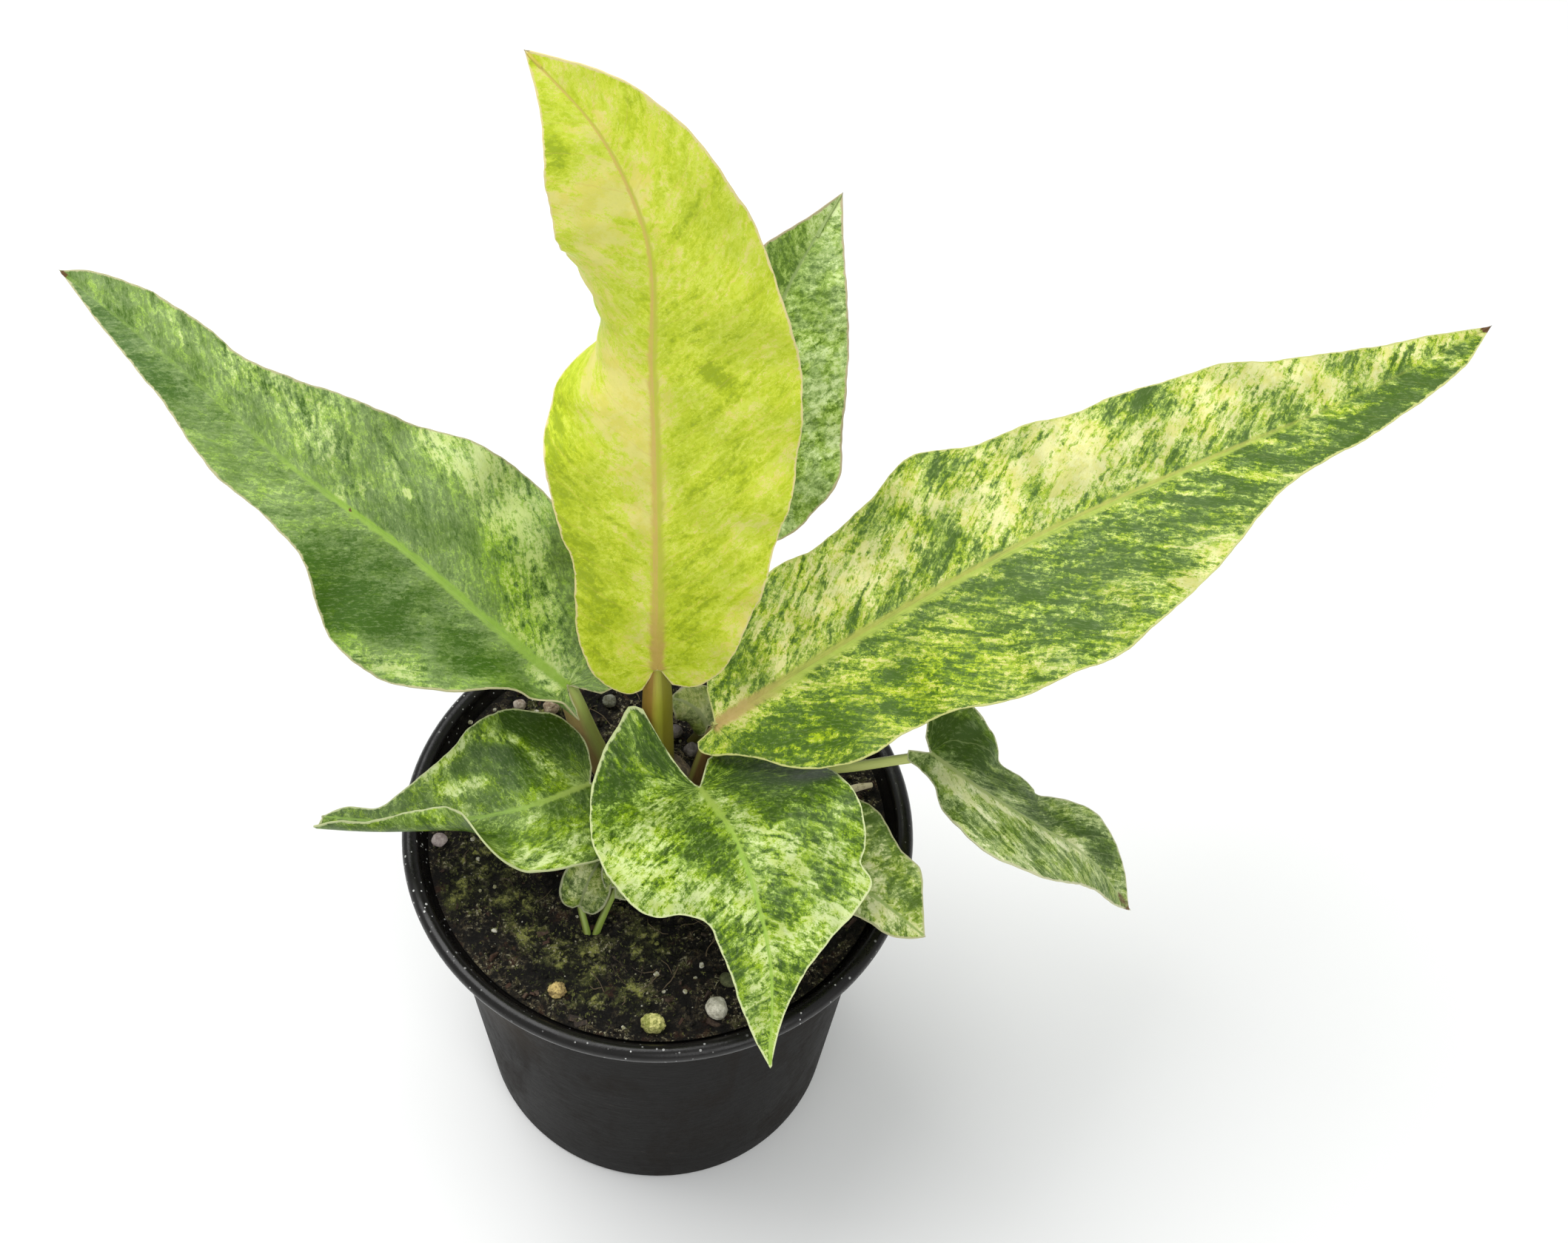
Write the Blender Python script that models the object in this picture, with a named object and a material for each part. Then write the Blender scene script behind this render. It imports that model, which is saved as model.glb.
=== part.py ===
"""A variegated Anthurium hookeri in its black plastic nursery pot.

All sizes below are millimetres, with the pot's base centre at the origin, +Z up and -Y towards
the viewer.  The meshes are scaled to metres when they are made.
"""

import math
from dataclasses import dataclass

import bmesh
import bpy
import numpy as np
from mathutils import Matrix, Vector, noise

MM = 0.001
CLEARANCE = 0.35            # left between pieces that touch
SHARP_ANGLE = 35            # degrees between faces from which an edge is shaded sharp
BLADE_THICKNESS = 0.8

# Pot
POT_HEIGHT = 126.0
RIM_RADIUS = 70.0           # outside of the rolled rim
BASE_RADIUS = 53.5
BASE_THICKNESS = 1.4
WALL_THICKNESS = 1.0
STEP_HEIGHT = 117.6         # where the wall steps out into the collar
STEP_RADIUS = 61.9          # outside of the wall just under the step
COLLAR_RADIUS = 65.4
LEDGE_HEIGHT = 119.2        # top of the inside ledge, at the wall and at the collar
LEDGE_RISE = 0.7
LEDGE_RADIUS = 63.4         # where the ledge meets the inside of the collar
BEAD_RADIUS = 2.3
FOOT_CHAMFER = 1.6
POT_STEPS = 42
BEAD_TURN = (-100, 190)     # degrees round the bead, from under its outside to its inside
BEAD_POINTS = 8
DRAIN_HOLES = 8
DRAIN_HOLE_RADIUS = 4.5
DRAIN_HOLE_SIDES = 10
DRAIN_CIRCLE = 37.0
POT_COLOUR = (0.012, 0.012, 0.013)

# Potting mix, which covers the pot's inside ledge
SOIL_EDGE_HEIGHT = 120.8
SOIL_DOME = 1.6             # how much higher the mix lies round the crown
SOIL_RELIEF = 1.1
SOIL_RINGS = 9
SOIL_RADIUS = LEDGE_RADIUS - CLEARANCE
SOIL_COLOUR = (0.035, 0.026, 0.018)

# Crown: the short stem that every petiole leaves from
CROWN_CENTRE = (0.0, 14.0)
CROWN_RADIUS = 12.0
CROWN_TOP = 126.5
CROWN_BOTTOM = 100.0
CROWN_STEPS = 20
CROWN_COLOUR = (0.10, 0.07, 0.035)

# Leaf mesh: rungs fan round the lobes, then follow the side veins up the midrib
FAN_RUNGS = 6
STALK_RINGS = 9
RIB_RINGS = 6
RIB_END = 0.86              # share of the length where the raised midrib dies out
RIB_END_RADIUS = 0.34
RIB_SHARE = 0.72            # the midrib's radius at its foot, as a share of the stalk's
RIB_SINK = 0.4              # share of a thick midrib's radius that is sunk in the blade
VEIN_SLOPE = 0.45           # mm forward for each mm out from the midrib
WAVE_REACH = 22.0           # distance from the midrib where the margin's wave has its full lift
WAVE_LIMIT = 1.4            # the wave stops growing at this many times that distance
WAVE_ONSET = 0.15           # share of the length over which the wave sets in
WAVE_LEAD = 0.35            # turns by which the left half's wave is ahead of the right half's


@dataclass
class Leaf:
    """One leaf: its stalk, its midrib in space and the shape of its two halves.

    A half's outline is a list of (along, across) from the end of its basal lobe round to the
    tip.  Fold is how steeply a half leaves the midrib, in degrees, and curl is how many more
    degrees it turns with each cm outwards; both are lists of (fraction of the length, value).
    """
    petiole: list
    petiole_radii: tuple
    midrib: list
    facing: list
    left: list
    right: list
    fold_left: list = ((0, 12), (1, 8))
    fold_right: list = ((0, 12), (1, 8))
    curl_left: list = ((0, 0), (1, 0))
    curl_right: list = ((0, 0), (1, 0))
    lobe_lift: tuple = (0.0, 0.0)       # left, right: rise of the lobes 20 mm behind the foot
    wave: tuple = (1.0, 27.0, 0.0)      # lift, spacing and start (in turns) of the waved margin
    colour: tuple = (0.10, 0.24, 0.05)
    rungs: int = 16
    steps: int = 4


LEAVES = {
    "leaf_young": Leaf(
        petiole=[(0, 13.5, 108), (0.5, 13, 130), (0, 13, 156), (0, 14, 170), (0, 15, 178)],
        petiole_radii=(4.3, 4.1, 4.1, 3.6, 2.2),
        midrib=[(0, 15, 178), (0, 23, 226), (-1, 32, 270), (-3, 38, 310), (-12, 44, 330), (-27, 53, 344)],
        facing=[(0, -1, 0.3), (0, -1, 0.3)],
        left=[(-8, 4), (-9, 7), (-6, 12), (1, 17), (12, 20), (39, 21), (62, 25.5), (80, 26.5), (98, 24.5),
              (115, 23), (130, 20.5), (145, 17.5), (157, 14), (171, 5), (180, 0)],
        right=[(-6, 4), (-6, 9), (-1, 15), (16, 22), (42, 28), (80, 34), (105, 33), (128, 25), (150, 18),
               (167, 9), (180, 0)],
        fold_left=[(0, 10), (1, 14)], fold_right=[(0, 10), (1, 14)],
        curl_left=[(0, 0), (0.38, 0), (0.46, -24), (0.52, -54), (0.57, -60), (0.6, -52), (0.64, -41),
                   (0.68, -33), (0.73, -25), (0.78, -15), (0.89, 0), (1, 0)],
        colour=(0.42, 0.52, 0.06), rungs=20),
    "leaf_rear": Leaf(
        petiole=[(-1.5, 22.4, 108), (0.2, 30, 135), (8, 44, 168), (19, 56, 200)],
        petiole_radii=(2.6, 2.4, 2.0, 1.7),
        midrib=[(19, 56, 200), (25, 69, 225), (32, 82, 245), (46, 100, 262)],
        facing=[(0, -1, 1), (0, -1, 1)],
        left=[(-11, 5), (-13, 10), (-9, 18), (2, 25), (16, 27), (34, 23), (50, 17), (62, 11), (72, 5),
              (82, 0)],
        right=[(-11, 5), (-12, 10), (-8, 17), (3, 24), (14, 28), (28, 25), (42, 22), (54, 18), (66, 11),
               (76, 4), (82, 0)],
        fold_left=[(0, 30), (1, 25)], fold_right=[(0, 25), (1, 20)],
        colour=(0.11, 0.22, 0.07)),
    "leaf_left": Leaf(
        petiole=[(-8.5, 14.3, 108), (-13, 15.5, 122), (-19, 17.5, 140), (-24, 20, 162)],
        petiole_radii=(3.3, 3.4, 3.6, 2.8),
        midrib=[(-24, 20, 162), (-38, 25, 175), (-65, 35, 202), (-90, 44, 222), (-114, 59, 238),
                (-148, 83, 252)],
        facing=[(-0.3, -0.3, 1), (-0.3, -0.3, 1)],
        left=[(-6, 4), (-7, 8), (-2, 11), (8, 13), (20, 17), (31, 24.5), (40, 29.5), (51, 30.5), (62, 29.5),
              (71, 24), (80, 17), (93, 14), (106, 14), (128, 9), (153, 4), (169, 0)],
        right=[(-9, 4), (-11, 9), (-8, 18), (4, 27), (25, 33), (44, 35), (57, 34), (76, 27), (96, 22),
               (108, 17), (118, 13), (134, 12), (152, 9), (164, 4), (169, 0)],
        fold_left=[(0, 0), (0.2, 12), (0.4, 12), (1, 10)], fold_right=[(0, 14), (1, 10)],
        curl_left=[(0, 105), (0.06, 60), (0.17, 10), (0.3, 0), (1, 0)],
        rungs=20),
    "leaf_right": Leaf(
        petiole=[(8.2, 11.8, 108), (9.5, 10.5, 122), (11.1, 9, 135), (15.5, 10, 157.5)],
        petiole_radii=(2.6, 2.5, 2.4, 2.4),
        midrib=[(15.5, 10, 157.5), (31, 15, 168), (64, 26, 188), (98, 37, 205), (138, 50, 218),
                (179, 66, 226), (214, 85, 230)],
        facing=[(0, -0.2, 1), (0, -0.2, 1)],
        left=[(3, 9.5), (5, 12), (13, 17), (24, 22), (36, 27.5), (46, 25.5), (53, 26), (65, 30), (80, 33),
              (96, 28.5), (114, 26), (134, 24), (154, 22), (168, 18), (195, 10), (213, 5), (228, 0)],
        right=[(-6.5, 1.2), (-7, 3.5), (-5, 6.5), (0, 9.5), (5, 13), (14, 22), (24, 28), (35, 31.5), (46, 30),
               (57, 32), (67, 35), (81, 38), (95, 39), (107, 38), (117, 35), (128, 30), (139, 25),
               (149, 19), (157, 15.5), (180, 12), (197, 9.5), (215, 6), (228, 0)],
        fold_left=[(0, 16), (1, 10)], fold_right=[(0, 10), (1, 8)],
        colour=(0.30, 0.42, 0.10), rungs=22),
    "leaf_front": Leaf(
        petiole=[(0.7, 5.5, 108), (2, 3, 125), (7, -1, 142), (11, -6, 152)],
        petiole_radii=(2.4, 2.2, 2.0, 1.8),
        midrib=[(11, -6, 152), (20, -25, 158), (25, -41, 156), (28, -54, 150), (28, -77, 136)],
        facing=[(0, -0.1, 1), (0, -0.3, 1)],
        left=[(-9, 6.5), (-10.5, 11), (-10, 16), (-6, 22), (0, 26), (9, 29), (18, 31), (27, 32), (34, 30),
              (37, 28), (41, 29), (46, 24), (51, 16), (57, 9), (65, 4), (81, 0)],
        right=[(-16.5, 5.8), (-17.2, 8), (-15.5, 13), (-12, 21), (-7, 27), (2, 32), (15, 35), (27, 34),
               (35, 31), (38, 26), (38.5, 20), (42, 14), (50, 12), (62, 9), (72, 5), (81, 0)],
        fold_left=[(0, -5), (0.3, 10), (1, 8)],
        lobe_lift=(0, 26), rungs=18),
    "leaf_front_left": Leaf(
        petiole=[(-5.5, 7.5, 108), (-8, 6, 122), (-13, 2.5, 136), (-18, -0.5, 145)],
        petiole_radii=(2.2, 2.0, 1.8, 1.6),
        midrib=[(-18, -0.5, 145), (-34, -11.3, 151.3), (-48, -13.4, 149), (-68, -11, 143), (-89, -8, 141)],
        facing=[(0, -0.1, 1), (0, -0.1, 1)],
        left=[(-4, 3), (-7, 12), (-2, 19), (8, 23), (18, 22.5), (28, 18.5), (38, 13.5), (50, 11), (62, 10),
              (73, 10), (78, 7), (79, 0)],
        right=[(-3, 4), (-5, 12), (-1, 21), (8, 26), (20, 28), (34, 24), (48, 16.5), (56, 9), (62, 4),
               (72, 3), (79, 0)],
        fold_left=[(0, 6), (0.4, 8), (0.6, 0), (1, 0)],
        curl_left=[(0, 0), (0.3, 5), (0.58, 160), (1, 110)]),
    "leaf_front_right": Leaf(
        petiole=[(5.5, 7.5, 108), (12, 2, 124), (22, -5, 134), (29, -10, 138)],
        petiole_radii=(2.0, 1.8, 1.7, 1.6),
        midrib=[(29, -10, 138), (45, -23, 141), (58, -33, 140), (69, -41, 136)],
        facing=[(0, -0.1, 1), (0.3, -0.1, 1)],
        left=[(-5, 3), (-9, 10), (-2, 18), (12, 20), (24, 19), (33, 15), (40, 14), (46, 7), (52, 0)],
        right=[(-5, 3), (-9, 10), (-2, 18), (12, 18), (26, 12), (36, 8), (43, 7), (49, 3), (52, 0)],
        rungs=12),
    "leaf_far_right": Leaf(
        petiole=[(8, 16.9, 108), (14, 16, 121), (30, 12, 133), (50, 7, 141.5), (73, 8, 147)],
        petiole_radii=(1.9, 1.7, 1.5, 1.4, 1.4),
        midrib=[(73, 8, 147), (84, -2, 147), (100, -11, 142), (115, -14, 130), (129, -20, 111)],
        facing=[(0, -0.1, 1), (0.3, -0.1, 1)],
        left=[(-4, 3), (-6, 12), (2, 17), (12, 16), (20, 14), (30, 16), (42, 15), (56, 13), (66, 9), (77, 0)],
        right=[(-5, 3), (-4, 5), (1, 5.5), (7, 7), (12, 11), (18, 14.5), (27, 17), (36, 15.5), (48, 11.5),
               (60, 7), (70, 4), (77, 0)],
        fold_left=[(0, 5), (0.08, -5), (0.22, -42), (0.45, -32), (0.7, 0), (1, 8)],
        curl_right=[(0, -70), (0.12, -40), (0.24, 0), (1, 0)],
        rungs=14),
    "leaf_low": Leaf(
        petiole=[(4.9, 21, 108), (8, 27, 118), (14, 28.5, 129)],
        petiole_radii=(1.6, 1.5, 1.2),
        midrib=[(14, 28.5, 129), (11, 31, 133), (7.5, 32.5, 135), (3.4, 33.5, 135.5)],
        facing=[(0, -0.2, 1), (0, -0.2, 1)],
        left=[(-2, 2), (-1, 6), (4, 10), (9, 8), (12, 4), (14, 0)],
        right=[(-2, 2), (-1, 5), (4, 8), (9, 6), (12, 3), (14, 0)],
        fold_left=[(0, 0), (1, 0)], fold_right=[(0, 10), (1, 10)],
        curl_left=[(0, -190), (0.6, -150), (1, -60)],
        colour=(0.20, 0.26, 0.12), rungs=7),
}

SEEDLING_THICKNESS = 0.7
SEEDLING_COLOUR = (0.16, 0.26, 0.09)
SEEDLING_LEAVES = [
    Leaf(
        petiole=[(-18.2, -33.4, 112), (-18.4, -33, 119), (-20.6, -27.4, 128)],
        petiole_radii=(1.0, 1.0, 0.9),
        midrib=[(-20.6, -27.4, 128), (-18, -23, 134), (-14, -17, 137)],
        facing=[(0, -0.8, 1), (0, -0.3, 1)],
        left=[(-1, 2), (0, 5), (6, 7.5), (12, 5), (16, 0)],
        right=[(-1, 2), (0, 5), (6, 7.5), (12, 5), (16, 0)],
        fold_left=[(0, 35), (1, 15)], fold_right=[(0, 35), (1, 15)],
        rungs=6, steps=2),
    Leaf(
        petiole=[(-17.4, -32.6, 112), (-16.8, -32.6, 119), (-11, -26, 135)],
        petiole_radii=(1.0, 1.0, 0.9),
        midrib=[(-11, -26, 135), (-6, -22, 139), (1, -18, 140)],
        facing=[(0, -0.3, 1), (0, -0.1, 1)],
        left=[(-2, 2), (0, 5), (6, 7), (12, 4), (16, 0)],
        right=[(-2, 2), (0, 5), (6, 7), (12, 4), (16, 0)],
        fold_left=[(0, 20), (1, 10)], fold_right=[(0, 20), (1, 10)],
        rungs=6, steps=2),
]

PEBBLE_SHAPE = (1.0, 0.93, 0.86)    # width, depth and height of a stone 1 across
PEBBLE_LUMPS = 0.16

# Name: x, y, diameter, share sunk in the mix, colour
PEBBLES = {
    "pebble_pumice": (15.6, -54.9, 6.3, 0.15, (0.62, 0.60, 0.55)),
    "pebble_mossy": (-1.0, -58.9, 6.2, 0.15, (0.36, 0.36, 0.12)),
    "pebble_yellow": (-26.0, -49.2, 4.9, 0.2, (0.40, 0.33, 0.15)),
    "pebble_half_buried": (18.5, -46.4, 4.6, 0.28, (0.22, 0.22, 0.12)),
    "pebble_pink": (-59.6, -4.6, 4.4, -0.1, (0.45, 0.38, 0.36)),
    "pebble_grey_1": (9.6, 23.8, 4.6, 0.12, (0.17, 0.16, 0.14)),
    "pebble_grey_2": (5.0, 30.1, 4.4, 0.15, (0.20, 0.18, 0.16)),
    "pebble_grey_3": (8.0, 43.2, 5.0, 0.15, (0.36, 0.33, 0.28)),
    "pebble_grey_4": (14.2, 43.0, 4.2, 0.15, (0.18, 0.16, 0.14)),
    "pebble_grey_5": (-13.6, 40.6, 4.2, 0.15, (0.24, 0.25, 0.21)),
    "pebble_cream": (-30.4, 39.0, 5.0, 0.25, (0.55, 0.48, 0.34)),
    "pebble_white": (-39.4, 40.0, 3.8, 0.15, (0.60, 0.54, 0.46)),
}

ROOT_PATH = [(40, 5, 112), (44.5, 7, 119), (50, 9.2, 123.4), (55, 11.0, 124.2), (59.6, 12.4, 123.6)]
ROOT_RADII = (1.2, 1.2, 1.15, 1.1, 0.7)
ROOT_COLOUR = (0.62, 0.56, 0.40)


def clear_scene():
    for obj in list(bpy.data.objects):
        bpy.data.objects.remove(obj, do_unlink=True)


def material(name, colour, roughness=0.5):
    mat = bpy.data.materials.new(name)
    mat.use_nodes = True
    shader = mat.node_tree.nodes["Principled BSDF"]
    shader.inputs["Base Color"].default_value = (*colour, 1.0)
    shader.inputs["Roughness"].default_value = roughness
    shader.inputs["Metallic"].default_value = 0.0
    return mat


def add_object(name, mesh):
    """Put a mesh given in mm into the scene at its real size."""
    mesh.transform(Matrix.Scale(MM, 4))
    mesh.name = name
    obj = bpy.data.objects.new(name, mesh)
    bpy.context.scene.collection.objects.link(obj)
    return obj


def mesh_from_bmesh(bm, name):
    mesh = bpy.data.meshes.new(name)
    bm.to_mesh(mesh)
    bm.free()
    return mesh


def smooth_path(points, count):
    """count points at even steps along a smooth curve through the given points."""
    p = np.array(points, float)
    knots = np.concatenate([[0.0], np.cumsum(np.linalg.norm(np.diff(p, axis=0), axis=1))])
    slopes = np.gradient(p, knots, axis=0)
    fine = [p[:1]]
    for i in range(len(p) - 1):
        u = np.linspace(0, 1, 41)[1:, None]
        span = knots[i + 1] - knots[i]
        fine.append((2 * u**3 - 3 * u**2 + 1) * p[i] + (u**3 - 2 * u**2 + u) * span * slopes[i]
                    + (3 * u**2 - 2 * u**3) * p[i + 1] + (u**3 - u**2) * span * slopes[i + 1])
    curve = np.concatenate(fine)
    walked = np.concatenate([[0.0], np.cumsum(np.linalg.norm(np.diff(curve, axis=0), axis=1))])
    wanted = np.linspace(0, walked[-1], count)
    return np.stack([np.interp(wanted, walked, curve[:, k]) for k in range(p.shape[1])], axis=1)


def unit(v):
    return v / np.linalg.norm(v, axis=-1, keepdims=True)


def spread(values, where):
    """Read evenly spaced vectors, first to last, at fractions 0 to 1."""
    values = np.array(values, float)
    stations = np.linspace(0, 1, len(values))
    return np.stack([np.interp(where, stations, values[:, k]) for k in range(values.shape[1])], axis=-1)


def eased(knots, where):
    """Read a list of (fraction, value) with a soft change from knot to knot."""
    at, value = np.array(knots, float).T
    i = np.clip(np.searchsorted(at, where, side="right") - 1, 0, len(at) - 2)
    t = np.clip((where - at[i]) / (at[i + 1] - at[i]), 0, 1)
    return value[i] + (value[i + 1] - value[i]) * t * t * (3 - 2 * t)


class Blade:
    """The bent surface of a leaf, addressed in flat leaf coordinates (along, across)."""
    SAMPLES = 121

    def __init__(self, leaf):
        self.leaf = leaf
        self.path = smooth_path(leaf.midrib, self.SAMPLES)
        self.length = np.linalg.norm(np.diff(self.path, axis=0), axis=1).sum()
        self.tangent = unit(np.gradient(self.path, axis=0))
        facing = spread(leaf.facing, np.linspace(0, 1, self.SAMPLES))
        along = (facing * self.tangent).sum(1, keepdims=True)
        self.normal = unit(facing - along * self.tangent)
        self.side = np.cross(self.tangent, self.normal)

    def point(self, along, across):
        leaf = self.leaf
        where = np.clip(along / self.length, 0, 1)
        midrib, tangent, normal, side = (spread(v, where)
                                         for v in (self.path, self.tangent, self.normal, self.side))
        reach = np.abs(across)
        is_left = across < 0
        fold = np.radians(np.where(is_left, eased(leaf.fold_left, where), eased(leaf.fold_right, where)))
        curl = np.where(is_left, eased(leaf.curl_left, where), eased(leaf.curl_right, where))
        curl = np.radians(curl) / 10.0
        curl = np.where(np.abs(curl) < 1e-5, 1e-5, curl)
        out = (np.sin(fold + curl * reach) - np.sin(fold)) / curl
        up = (np.cos(fold) - np.cos(fold + curl * reach)) / curl
        behind = np.minimum(along, 0.0)
        lift = np.where(is_left, leaf.lobe_lift[0], leaf.lobe_lift[1])
        up = up + lift * (behind / 20.0) ** 2
        rise, spacing, start = leaf.wave
        turns = along / spacing + start + WAVE_LEAD * is_left
        fade = np.minimum(where / WAVE_ONSET, 1.0) * np.minimum(reach / WAVE_REACH, WAVE_LIMIT) ** 2
        up = up + rise * fade * np.sin(math.tau * turns)
        return (midrib + tangent * behind[..., None]
                + side * (np.sign(across) * out)[..., None] + normal * up[..., None])

    def rungs(self, outline, count):
        """Foot and margin of each rung, as flat coordinates with across positive."""
        outline = list(outline[:-1]) + [(self.length, 0.0)]
        margin = smooth_path(outline, 400)
        foot = np.maximum.accumulate(np.maximum(margin[:, 0] - VEIN_SLOPE * margin[:, 1], 0.0))
        q = np.linspace(0, 1, len(margin))
        fan_end = q[np.argmax(foot > 0)]
        rising = foot + 1e-6 * q
        stations = self.length * np.linspace(0, 1, count + 1)[1:]
        q_rung = np.concatenate([np.linspace(0, fan_end, FAN_RUNGS),
                                 np.interp(stations[:-1], rising, q), [1.0]])
        feet = np.concatenate([np.zeros(FAN_RUNGS), stations])
        ends = np.stack([np.interp(q_rung, q, margin[:, k]) for k in range(2)], axis=1)
        return feet, ends

    def grid(self, count, steps):
        """Flat coordinates of every mesh point of both halves: rung, step, (along, across)."""
        halves = []
        for outline, sign in ((self.leaf.left, -1.0), (self.leaf.right, 1.0)):
            feet, ends = self.rungs(outline, count)
            t = np.linspace(0, 1, steps + 1)[None, :]
            along = feet[:, None] * (1 - t) + ends[:, :1] * t
            across = sign * ends[:, 1:] * t
            halves.append(np.stack([along, across], axis=-1))
        return halves


def blade_solid(name, blade, rungs, steps, thickness=BLADE_THICKNESS):
    """The blade as one closed sheet, split into the same triangles above and below."""
    bm = bmesh.new()
    for half, sign in zip(blade.grid(rungs, steps), (-1, 1)):
        points = blade.point(half[..., 0], np.where(half[..., 1] == 0, sign * 1e-9, half[..., 1]))
        rows = [[bm.verts.new(p) for p in row] for row in points]
        for lower, upper in zip(rows, rows[1:]):
            for k in range(steps):
                quad = (lower[k], lower[k + 1], upper[k + 1], upper[k])
                bm.faces.new(quad if sign > 0 else quad[::-1])
    bmesh.ops.remove_doubles(bm, verts=bm.verts, dist=0.02)
    bmesh.ops.dissolve_degenerate(bm, dist=0.01, edges=bm.edges)
    bmesh.ops.triangulate(bm, faces=bm.faces)
    bm.normal_update()
    bm.verts.index_update()
    above = [v.co + v.normal * thickness / 2 for v in bm.verts]
    below = [v.co - v.normal * thickness / 2 for v in bm.verts]
    faces = [[v.index for v in f.verts] for f in bm.faces]
    rim = [(e.link_loops[0].vert.index, e.link_loops[0].link_loop_next.vert.index)
           for e in bm.edges if e.is_boundary]
    bm.free()
    count = len(above)
    solid = faces + [[i + count for i in reversed(f)] for f in faces]
    for a, b in rim:
        solid += [[b, a, a + count], [b, a + count, b + count]]
    mesh = bpy.data.meshes.new(name)
    mesh.from_pydata(above + below, [], solid)
    return add_object(name, mesh)


def tube(name, points, radii, sides_level=2, spare=0.0):
    """A round stalk with closed ends; spare makes it fatter and longer, to cut a socket."""
    points = [Vector(p) for p in points]
    if spare:
        points[0] = points[0] + (points[0] - points[1]).normalized() * spare
    curve = bpy.data.curves.new(name, "CURVE")
    curve.dimensions = "3D"
    curve.bevel_depth = 1.0
    curve.bevel_resolution = sides_level
    curve.use_fill_caps = True
    spline = curve.splines.new("POLY")
    spline.points.add(len(points) - 1)
    for place, co, radius in zip(spline.points, points, radii):
        place.co = (*co, 1.0)
        place.radius = radius + spare
    source = bpy.data.objects.new(name, curve)
    bpy.context.scene.collection.objects.link(source)
    mesh = bpy.data.meshes.new_from_object(source.evaluated_get(bpy.context.evaluated_depsgraph_get()))
    bpy.data.objects.remove(source, do_unlink=True)
    bm = bmesh.new()
    bm.from_mesh(mesh)
    bmesh.ops.remove_doubles(bm, verts=bm.verts, dist=0.001)
    return add_object(name, mesh_from_bmesh(bm, name))


def boolean_result(target, group, operation, solver):
    modifier = target.modifiers.new("combine", "BOOLEAN")
    modifier.operation = operation
    modifier.operand_type = "COLLECTION"
    modifier.collection = group
    modifier.solver = solver
    depsgraph = bpy.context.evaluated_depsgraph_get()
    mesh = bpy.data.meshes.new_from_object(target.evaluated_get(depsgraph))
    target.modifiers.remove(modifier)
    return mesh


def combine(target, others, operation):
    """Join or cut target with the other solids, apply the result and remove them."""
    group = bpy.data.collections.new("others")
    for other in others:
        group.objects.link(other)
    mesh = boolean_result(target, group, operation, "EXACT")
    if len(mesh.polygons) < len(target.data.polygons) / 2:
        mesh = boolean_result(target, group, operation, "MANIFOLD")
    target.data = mesh
    for other in others:
        bpy.data.objects.remove(other, do_unlink=True)
    bpy.data.collections.remove(group)


def finish(obj, mat):
    obj.data.materials.clear()
    obj.data.materials.append(mat)
    obj.data.shade_smooth()
    obj.data.set_sharp_from_angle(angle=math.radians(SHARP_ANGLE))
    return obj


def stalk_points(leaf, count=STALK_RINGS):
    path = smooth_path([(*p, r) for p, r in zip(leaf.petiole, leaf.petiole_radii)], count)
    return path[:, :3], path[:, 3]


def build_leaf(name, leaf):
    blade = Blade(leaf)
    obj = blade_solid(name, blade, leaf.rungs, leaf.steps)
    stalk, radii = stalk_points(leaf)
    rib_at = np.linspace(0, RIB_END, RIB_RINGS + 1)[1:]
    rib = spread(blade.path, rib_at)
    foot_radius = RIB_SHARE * leaf.petiole_radii[-1]
    rib_radii = RIB_END_RADIUS + (foot_radius - RIB_END_RADIUS) * (1 - rib_at / RIB_END)
    sink = RIB_SINK * np.maximum(rib_radii - BLADE_THICKNESS / 2, 0)[:, None]
    rib = rib - spread(blade.normal, rib_at) * sink
    stem = tube(name + "_stem", np.concatenate([stalk, rib]), np.concatenate([radii, rib_radii]))
    combine(obj, [stem], "UNION")
    return finish(obj, material(name, leaf.colour, 0.42))


def lathe(name, profile, steps, centre=(0.0, 0.0)):
    """Turn a profile of (radius, height) points round a vertical axis."""
    bm = bmesh.new()
    cx, cy = centre
    verts = [bm.verts.new((cx + r, cy, z)) for r, z in profile]
    edges = [bm.edges.new(pair) for pair in zip(verts, verts[1:])]
    bmesh.ops.spin(bm, geom=verts + edges, cent=(cx, cy, 0), axis=(0, 0, 1), angle=math.tau, steps=steps)
    bmesh.ops.remove_doubles(bm, verts=bm.verts, dist=0.001)
    bmesh.ops.recalc_face_normals(bm, faces=bm.faces)
    return add_object(name, mesh_from_bmesh(bm, name))


def inner_radius(height):
    """Inside of the pot's wall below the step."""
    share = height / STEP_HEIGHT
    return BASE_RADIUS + (STEP_RADIUS - BASE_RADIUS) * share - WALL_THICKNESS


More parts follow.
